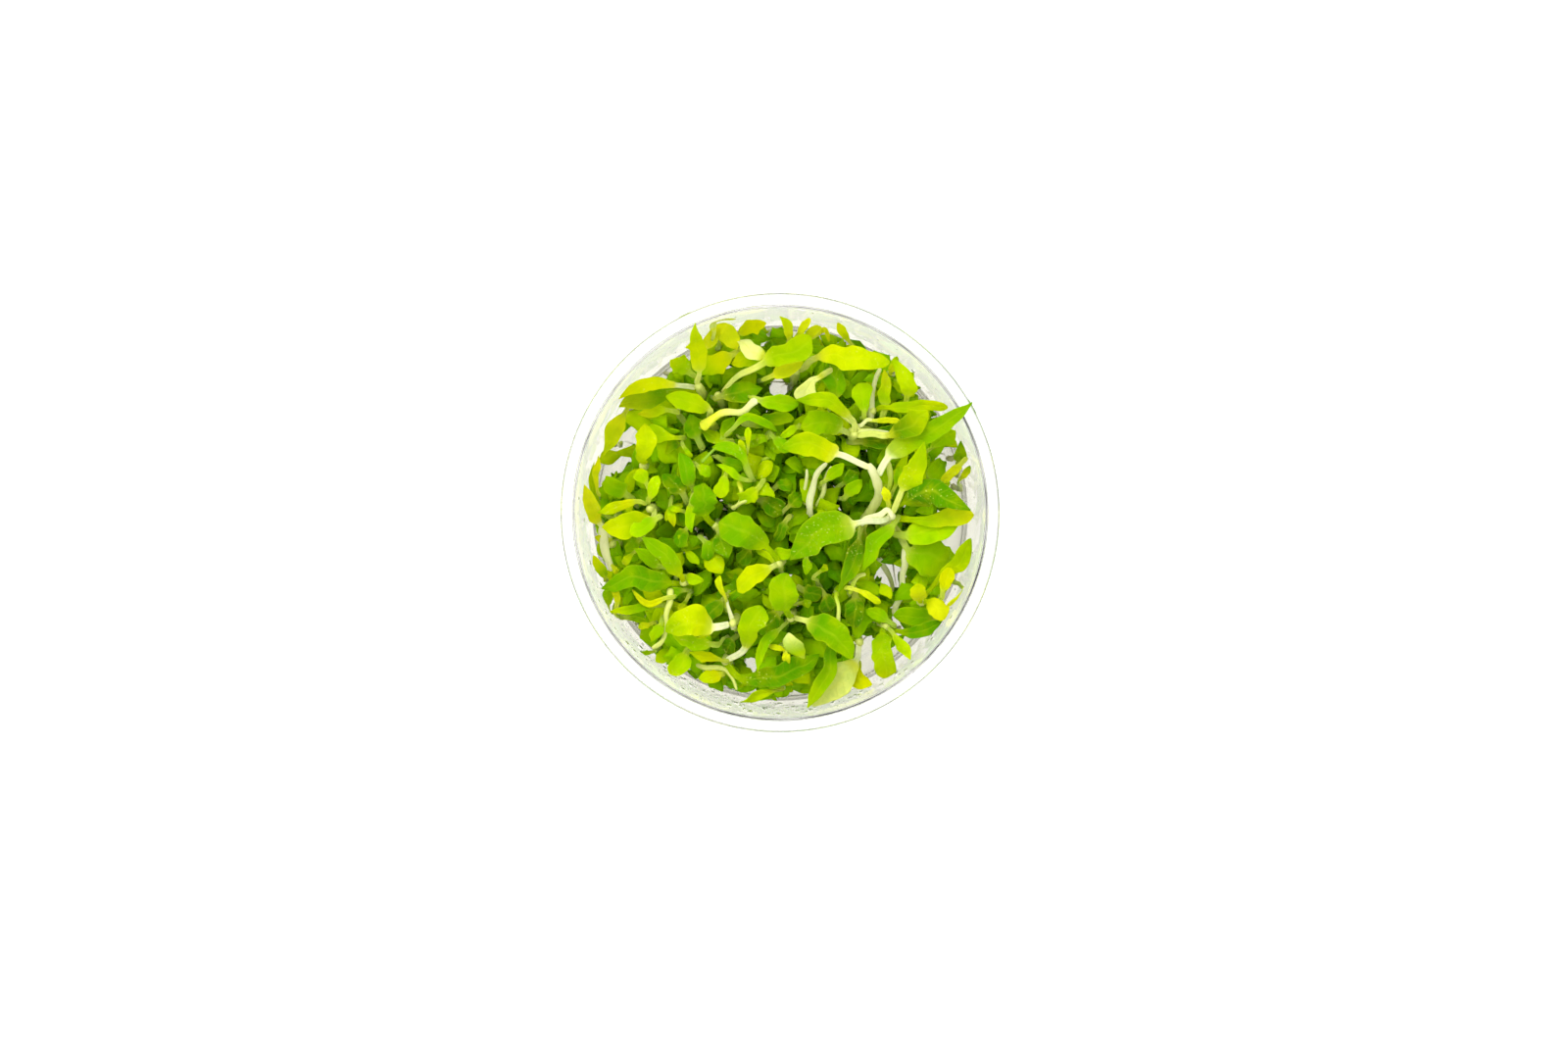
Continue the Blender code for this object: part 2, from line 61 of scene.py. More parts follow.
# Cup and gel, as in the part's source
CUP_HEIGHT = 48.0
RIM_RADIUS = 45.0
WALL_TOP_RADIUS = 42.6
WALL_FOOT_RADIUS = 40.6
WALL = 0.8
FLANGE_DEPTH = 1.4
FOOT_OUTER_RADIUS = 39.9
FOOT_INNER_RADIUS = 36.2
FLOOR_RISE = 1.2
FLOOR = 1.0
EDGE_ROUND = 0.5
GAP = 0.3
GEL_TOP = 9.6
MENISCUS = 0.7
MENISCUS_WIDTH = 1.6

# How finely the cup and the gel are turned, and how their edges are rounded and smoothed, in degrees
TURNED_SIDES = 192
BEVEL_WIDTH = 0.2
BEVEL_SEGMENTS = 2
BEVEL_ANGLE = 25
SMOOTH_ANGLE = 40

# Stems: how deep they stand in the gel, their rings and sides, and how far apart and how swollen their
# nodes are
PLANTED = 1.8
STEM_FOOT = 9.9
STEM_FOOT_RADIUS = 1.1
STEM_TOP_RADIUS = 0.85
STEM_STEPS = (6, 8, 8)
STEM_RINGS = 26
STEM_SIDES = 10
NODE_SPACING = 6.5
NODE_SWELL = 0.16
NODE_TURN = 0.37
ROUND_TOP = 0.6
THIN_STEM_RADIUS = 0.62

# Leaves: the sides of a cross-section, the rings of the stalk and of the blade, which crowd at the blade's
# two ends, and the steps of a path between two of its points. A small leaf is 1 long until it is placed.
LARGE_LEAF_SIDES = 12
LARGE_LEAF_RINGS = (6, 30)
LARGE_LEAF_STEPS = 8
LOW_LEAF_SIDES = 10
LOW_LEAF_RINGS = (3, 17)
LOW_LEAF_STEPS = 5
SMALL_LEAF_SIDES = 6
SMALL_LEAF_STEPS = (0.0, 0.14, 0.28, 0.44, 0.6, 0.76, 0.9, 1.0)
SMALL_LEAF_HALF = 0.05
SMALL_TIP_HALF = 0.03
END_CROWDING = 0.6
GROOVE = 0.4
TIP_WIDTH = 0.14
STALK_FLATNESS = 0.75
SLIM_STALK = 0.32
STALK_BY_WIDTH = 0.08
STALK_TAPER = 0.25
EDGE_WANDER = 0.08
CRENATION = 0.07

# Between these limits each leaf gets a random fold and roll. A large leaf's own fold is multiplied, and a low
# leaf's is in degrees.
LARGE_LEAF_FOLDS = (1.2, 2.6)
LARGE_LEAF_ROLLS = (-12, 12)
LOW_LEAF_FOLDS = (6, 22)
LOW_LEAF_ROLLS = (-26, 26)

# A leaf's own coordinate along it is its millimetres divided by this, so that its veins are evenly spaced
VEIN_SCALE = 50.0
VEIN_SPACING = 1.9

# How wide the waves are that warp each kind of piece
LARGE_LEAF_WAVES = 6.0
LOW_LEAF_WAVES = 4.5
SHOOT_WAVES = 3.5

# The leaves above take light from the low ones, so their colours are made lighter, up to a limit
LOW_LEAF_GAIN = 1.3
LIGHTEST = 0.85

# Young shoots: how far out they stand, the height of their tops between the clumps, how they bow and thin,
# how their feet are spread, and in how many pieces they are made. Past OUTER_SHOOTS their leaves are
# painted lighter, as painted light that comes through the wall.
SHOOT_REACH = 38.4
OUTER_SHOOTS = 20.0
OUTER_PAINTED_LIGHT = 0.025
UNDERGROWTH_LOW = 16.0
UNDERGROWTH_RISE = 4
CLUMP_SHARE = 0.85
SHOOT_RADIUS = 0.5
SHOOT_BOW = 1.2
SHOOT_TAPER = 0.35
FOOT_TRIES = 9000
FOOT_ROOM = 1.5
SHOOT_PIECES = 3

# A shoot's opposite pairs of small leaves: where the first one is as a share of its height, how far apart
# they are, and how long their leaves and those of the bud at its top are
FIRST_PAIR = (0.14, 0.26)
PAIR_SPACING = (2.5, 3.6)
PAIR_LENGTH = (5.2, 7.8)
BUD_LENGTH = (4.6, 7.4)

# The plants are pressed softly inwards from WALL_ROOM off the wall, and end WALL_SKIN off it. Low leaves
# that lean on the wall are lifted by WALL_LIFT for each millimetre past LIFT_START, up to LIFT_TOP.
WALL_ROOM = 1.2
WALL_SKIN = 0.2
WALL_LIFT = 0.8
LIFT_START = 36.0
LIFT_TOP = 44.5

# Roots: how many there are, how far out they start and reach, how thick they are and how they thin
ROOTS = 150
ROOT_SPREAD = 35
ROOT_REACH = 37.5
ROOT_RADIUS = 0.2
ROOT_TAPER = 0.09

# Drops: where most are round the cup and how far they spread, in degrees, and how flat they lie
DROP_SIDE = 262
DROP_SPREAD = 32
DROP_DEPTH = 0.45

# Tones of the finishes, as linear red, green, blue and alpha
CLEAR_FLANGE = (0.97, 0.97, 0.96, 1)
LEAF_YELLOW = (0.72, 0.76, 0.0, 1)
LEAF_GREEN = (0.12, 0.38, 0.0, 1)
# The vein colour also paints the leaf's rim lighter, as painted light that shines through the thin edges
LEAF_VEIN_AND_RIM_LIGHT = (0.80, 0.88, 0.03, 1)
LEAF_CELL = (0.1, 0.25, 0.0, 1)
# Painted glints: small bright specks on the leaves that stand in for wet highlights
LEAF_PAINTED_GLINT = (0.95, 0.98, 0.2, 1)
LEAF_GLOSS = (1.0, 1.0, 0.03, 1)
STALK_GREEN = (0.45, 0.55, 0.06, 1)
STALK_GLOW = (0.95, 0.94, 0.56, 1)

# The light that comes through each kind of leaf
LEAF_GLOWS = {
    "yellow_leaf": (0.95, 0.94, 0.0, 1),
    "lime_leaf": (0.80, 0.84, 0.0, 1),
    "green_leaf": (0.50, 0.70, 0.0, 1),
    "dark_leaf": (0.18, 0.46, 0.0, 1),
    "pale_leaf": (1.0, 1.0, 0.25, 1),
}
LOW_LEAF_GLOW = (0.85, 0.89, 0.0, 1)
SHOOT_GLOW = (0.66, 0.92, 0.0, 1)

# The camera looks straight down. Its distance is to the plane of the cup's rim.
CAMERA_X = 0.8
CAMERA_Y = -2.1
CAMERA_DISTANCE = 900.0
FRAME_WIDTH = 320.0
SENSOR = 36.0

# The stage, in metres
FLOOR_SIZE = 6
FLOOR_DROP = 0.0002
LAMP_SIZE = 0.9
LAMP_PLACE = (-0.5, 0.6, 1.1)

# The points of stem_01 and on, from just above the gel to each stem's top, as in the part's source. The
# first ones are all at one height.
STEM_ROWS = (
    ((21.5, -3.5), (22.2, -2.0, 24), (23.2, -0.6, 36)),
    ((15.5, -2.5), (18.8, 0.3, 27), (20.5, 4.0, 33), (18.4, 9.9, 39)),
    ((14.0, 14.0), (14.6, 15.2, 22), (15.5, 16.4, 35)),
    ((0.8, -9.5), (0.4, -10.0, 23), (-0.4, -10.7, 36)),
    ((-8.0, -20.0), (-8.9, -21.6, 22), (-9.8, -22.9, 36)),
    ((-18.5, -13.0), (-19.2, -13.8, 22), (-20.1, -14.5, 34)),
    ((2.5, 26.0), (2.8, 27.6, 20), (3.4, 29.6, 31)),
    ((-15.5, 23.0), (-16.0, 24.4, 21), (-17.0, 26.4, 35)),
    ((-11.2, 21.0), (-12.0, 22.8, 20), (-13.0, 24.6, 31)),
    ((-12.6, 15.8), (-13.6, 17.6, 22), (-14.6, 19.3, 34)),
    ((-24.8, 1.5), (-25.8, 1.2, 22), (-27.2, 0.8, 33)),
    ((17.5, 18.8), (18.2, 20.0, 22), (19.2, 21.3, 34)),
    ((-12.6, -3.6), (-13.0, -3.2, 20), (-13.6, -2.6, 30)),
    ((2.6, -19.5), (2.5, -20.8, 22), (2.2, -22.0, 33)),
    ((-10.5, -27.5), (-10.8, -29.4, 20), (-11.5, -31.2, 29)),
    ((-32.5, -6.0), (-33.8, -6.3, 20), (-35.4, -6.5, 30)),
    ((20.2, -21.5), (21.0, -22.6, 20), (22.2, -23.7, 30)),
    ((16.2, -24.0), (16.2, -25.6, 19), (16.6, -27.2, 29)),
    ((27.5, -17.2), (28.4, -17.9, 19), (29.6, -18.7, 29)),
    ((-26.5, 9.0), (-27.4, 9.4, 20), (-28.7, 9.8, 31)),
)
STEMS = {
    f"stem_{number:02d}": ((x, y, STEM_FOOT), *rest)
    for number, ((x, y), *rest) in enumerate(STEM_ROWS, 1)
}

# The tops that aren't pale
STEM_TOPS = {"stem_01": "cream", "stem_02": "cream", "stem_10": "lemon"}

# From leaf_01 on, each large leaf leaves its stem at a height and runs through its path to its tip. Path
# and width are those of the part's source or within a millimetre of them. Fold lifts both edges, in
# degrees, and is made steeper by a random share. Widest is where the blade is widest, as a share of its
# length, and a lower full makes a fuller blade. Teeth are how many scallops each edge has and how deep they
# are. A lobe is where it is along the blade, its side, 1 for the left and -1 for the right, how far it
# stands out, and its spread along the blade. Then come the slot and the colours of the stalk, the blade's
# base and its tip.
Leaf = namedtuple("Leaf", "stem height path width fold widest full teeth lobes slot stalk base tip")
SMOOTH = (0, 0)
LEAF_ROWS = (
    ("stem_07", 29.5, ((8, 32.1, 37), (15, 31.6, 42.5), (22.6, 31, 43)),
     5.6, 8, 0.6, 0.5, SMOOTH, (), "yellow_leaf", "pale", "yellow", "lime"),
    ("stem_09", 30, ((-8, 28.6, 34), (-3, 31, 38), (1.8, 33, 41), (6.6, 35.9, 41)),
     5.8, 8, 0.58, 0.5, SMOOTH, ((0.85, -1, 0.7, 0.12),), "lime_leaf", "pale", "spring", "spring"),
    ("stem_02", 38.5, ((11.4, 12.2, 42.5), (6.5, 13.4, 45), (0.6, 13.8, 43)),
     5.2, 6, 0.42, 0.5, SMOOTH, ((0.62, -1, 0.4, 0.15), (0.2, 1, 0.4, 0.1)),
     "yellow_leaf", "cream", "yellow", "grass"),
    ("stem_01", 35, ((19, -1.3, 38.5), (15.5, -2.2, 41), (9.3, -3.6, 44), (2.3, -9.9, 40)),
     7.4, 6, 0.38, 0.7, SMOOTH, ((0.58, -1, 0.7, 0.12),), "green_leaf", "cream", "fresh", "deep"),
    ("stem_02", 36.5, ((22.6, 12, 37), (30.8, 16.6, 43.5), (39.2, 22.6, 52.5)),
     5.2, 8, 0.36, 0.8, (3, 0.06), (), "green_leaf", "cream", "spring", "grass"),
    ("stem_12", 32, ((23.2, 22.2, 37.5), (29.3, 21.9, 41.5), (34.5, 22, 43)),
     2.9, 6, 0.5, 0.38, SMOOTH, (), "lime_leaf", "lime", "spring", "yellow"),
    ("stem_03", 33.5, ((22.5, 16.2, 39.5), (26.6, 18.1, 43.5), (30, 20.9, 46)),
     4.4, 8, 0.6, 0.5, SMOOTH, ((0.78, 1, 0.8, 0.09),), "lime_leaf", "pale", "shade", "lime"),
    ("stem_01", 35, ((25.2, 5.6, 38), (28.2, 9.8, 42.5), (29.5, 14.7, 44)),
     4.6, 6, 0.36, 0.6, SMOOTH, ((0.3, -1, 0.8, 0.1),), "yellow_leaf", "pale", "lime", "spring"),
    ("stem_01", 31, ((25.6, 2.2, 36), (31.6, 4.3, 43), (38.9, 0.2, 43)),
     5.8, -8, 0.42, 0.62, (4, 0.06), ((0.3, -1, 0.4, 0.12),), "dark_leaf", "lime", "shade", "deep"),
    ("stem_01", 29, ((27, -1.9, 34), (33.6, -1.1, 36.5), (40, -0.6, 38.5)),
     4.9, 6, 0.72, 0.5, (2, 0.06), (), "lime_leaf", "lime", "spring", "lemon"),
    ("stem_01", 25.5, ((25.6, -5.6, 29), (26.6, -7.6, 30.5), (30.6, -8.7, 32), (35.2, -10.2, 30)),
     8.6, 5, 0.5, 0.4, (3, 0.07), (), "green_leaf", "pale", "fresh", "spring"),
    ("stem_19", 27, ((33.8, -12.9, 33), (37.3, -9.6, 36.5), (39.5, -5.3, 38)),
     3.4, 6, 0.5, 0.5, SMOOTH, (), "lime_leaf", "lime", "lime", "fresh"),
    ("stem_19", 27, ((31, -18.8, 30.4), (32.7, -20, 32.6), (34.5, -21.7, 32.6)),
     3.9, 6, 0.5, 0.36, SMOOTH, ((0.75, 1, 0.5, 0.1),), "yellow_leaf", "lime", "lemon", "lemon"),
    ("stem_19", 28.5, ((29.2, -18.2, 31.5), (28.9, -16.5, 35), (28.5, -14.4, 36.5)),
     4.1, 6, 0.7, 0.38, (2, 0.08), (), "yellow_leaf", "lime", "lemon", "yellow"),
    ("stem_17", 28, ((24.8, -24.8, 30), (29.1, -24.7, 31.5), (33.7, -21.9, 31)),
     3.1, 6, 0.5, 0.7, SMOOTH, (), "dark_leaf", "lime", "deep", "deep"),
    ("stem_17", 29, ((21.2, -24.8, 32.5), (21.2, -28.8, 36.5), (21.9, -34.1, 36)),
     5.3, 6, 0.6, 0.3, SMOOTH, (), "green_leaf", "lime", "fresh", "yellow"),
    ("stem_18", 28, ((15.6, -31, 31), (11.2, -35.5, 34.5), (6, -39.8, 38)),
     5.8, 5, 0.48, 0.6, SMOOTH, ((0.4, 1, 0.4, 0.12),), "pale_leaf", "cream", "pale", "pale"),
    ("stem_18", 26, ((11.6, -26.6, 31), (9.6, -32.8, 37), (4.9, -40, 41.5)),
     3.6, 8, 0.42, 0.6, SMOOTH, (), "green_leaf", "lime", "deep", "lime"),
    ("stem_14", 32, ((5.5, -22.4, 35.5), (10.8, -24.6, 38.5), (15.1, -30.3, 38)),
     5.4, 8, 0.5, 0.5, SMOOTH, ((0.35, -1, 0.9, 0.09),), "lime_leaf", "pale", "deep", "fresh"),
    ("stem_15", 27.5, ((-8.2, -34.2, 30), (-1, -34.1, 32.5), (8, -29.3, 31)),
     4.9, 8, 0.58, 0.6, (2, 0.06), (), "green_leaf", "lime", "dark", "deep"),
    ("stem_05", 35, ((-14, -23.3, 38), (-18.6, -22.2, 40.5), (-23.6, -24.5, 38)),
     5.8, 5, 0.48, 0.5, SMOOTH, ((0.4, -1, 0.5, 0.12),), "yellow_leaf", "cream", "yellow", "spring"),
    ("stem_15", 28.5, ((-7.4, -27.8, 32.5), (-6, -23.6, 37), (-3.6, -19.4, 37)),
     5, 8, 0.72, 0.4, SMOOTH, ((0.9, -1, 0.8, 0.12),), "lime_leaf", "cream", "lime", "fresh"),
    ("stem_14", 32.5, ((1.4, -19.8, 36.5), (0.6, -16.5, 39), (1.6, -12.7, 38)),
     6.1, 5, 0.52, 0.42, (2, 0.08), ((0.78, 1, 0.4, 0.1),), "green_leaf", "lime", "spring", "fresh"),
    ("stem_04", 35, ((-2, -11.5, 38), (-5.4, -12.8, 40), (-8.9, -15.9, 38)),
     3.8, 5, 0.58, 0.5, SMOOTH, (), "yellow_leaf", "pale", "yellow", "yellow"),
    ("stem_04", 34.5, ((-2.9, -7.2, 37), (-7.2, -3.9, 39.5), (-12.7, -1.7, 37)),
     7, 5, 0.5, 0.45, SMOOTH, ((0.8, 1, 0.5, 0.12),), "green_leaf", "lime", "grass", "grass"),
    ("stem_13", 29, ((-15.2, -0.6, 32.5), (-16, 2.8, 35), (-15.8, 5.9, 34)),
     6, 5, 0.5, 0.5, (4, 0.17), (), "green_leaf", "lime", "grass", "grass"),
    ("stem_06", 31, ((-23, -14.8, 33.5), (-29.5, -13.2, 37.5), (-37.2, -15.6, 38)),
     5.8, 6, 0.46, 0.65, (3, 0.06), (), "green_leaf", "lime", "deep", "grass"),
    ("stem_06", 33, ((-21, -12.6, 37), (-23.6, -8.8, 40), (-28.4, -4.8, 39)),
     3.9, 6, 0.45, 0.65, SMOOTH, (), "lime_leaf", "yellow", "fresh", "grass"),
    ("stem_11", 31, ((-26.8, -1.6, 34.5), (-31, -2.4, 37), (-37, -2.6, 38.5)),
     5.1, 5, 0.5, 0.5, (2, 0.08), (), "yellow_leaf", "pale", "lime", "yellow"),
    ("stem_16", 28.5, ((-37.4, -2.4, 33), (-39.2, 1.2, 37.5), (-40.2, 5.2, 41)),
     3, 5, 0.5, 0.6, SMOOTH, (), "yellow_leaf", "cream", "lemon", "lemon"),
    ("stem_20", 30, ((-28.7, 11.2, 34), (-27.8, 14.9, 38), (-28, 18.2, 37)),
     4.2, 5, 0.55, 0.45, SMOOTH, (), "yellow_leaf", "lime", "lime", "yellow"),
    ("stem_08", 30, ((-23.3, 24.3, 33), (-28, 23.5, 36), (-33.1, 21.6, 37.5)),
     4.4, 6, 0.5, 0.6, (3, 0.07), (), "dark_leaf", "lime", "grass", "lemon"),
    ("stem_10", 33, ((-15, 21.7, 36.5), (-18.8, 22.9, 39), (-23.5, 24.1, 38.5)),
     4.4, 6, 0.5, 0.55, SMOOTH, ((0.7, 1, 0.4, 0.1),), "lime_leaf", "pale", "lime", "spring"),
    ("stem_08", 33, ((-21.5, 26.3, 37), (-28, 27, 40.5), (-33.2, 23.4, 41)),
     2.8, 6, 0.55, 0.6, SMOOTH, (), "yellow_leaf", "cream", "yellow", "yellow"),
    ("stem_08", 34.5, ((-16.9, 29.6, 39), (-16.9, 34, 44.5), (-17.2, 38.4, 50.5)),
     3.8, 6, 0.32, 0.75, SMOOTH, ((0.5, 1, 1.7, 0.06),), "lime_leaf", "pale", "yellow", "lime"),
    ("stem_03", 34.5, ((14.2, 20, 38.3), (9.4, 23.2, 41.5), (3.2, 22.9, 40)),
     3.4, 6, 0.5, 0.6, SMOOTH, (), "lime_leaf", "pale", "lime", "fresh"),
    ("stem_03", 32, ((12.6, 17.3, 34.4), (9.2, 18.6, 37), (4, 17.8, 35.5)),
     5.7, 5, 0.46, 0.55, SMOOTH, (), "green_leaf", "pale", "fresh", "spring"),
)
LEAVES = {f"leaf_{number:02d}": Leaf(*row) for number, row in enumerate(LEAF_ROWS, 1)}

# Outlines of the low leaves: the share of the length that is stalk, where the blade is widest, how full
# it is, its scallops and its lobes
Outline = namedtuple("Outline", "stalk widest full teeth lobes")
OUTLINES = {
    "lance": Outline(0.15, 0.45, 0.8, SMOOTH, ()),
    "oval": Outline(0.12, 0.5, 0.58, SMOOTH, ()),
    "spoon": Outline(0.3, 0.64, 0.55, SMOOTH, ()),
    "blunt": Outline(0.12, 0.56, 0.4, SMOOTH, ()),
    "toothed": Outline(0.12, 0.5, 0.55, (3, 0.16), ()),
    "lobed": Outline(0.15, 0.45, 0.7, SMOOTH, ((0.42, 1, 0.9, 0.07), (0.6, -1, 0.9, 0.07))),
    "funnel": Outline(0.05, 0.76, 0.75, SMOOTH, ((0.95, 1, 0.5, 0.06), (0.9, -1, 0.4, 0.06))),
    "stalk": Outline(1.0, 0.5, 1.0, SMOOTH, ()),
}
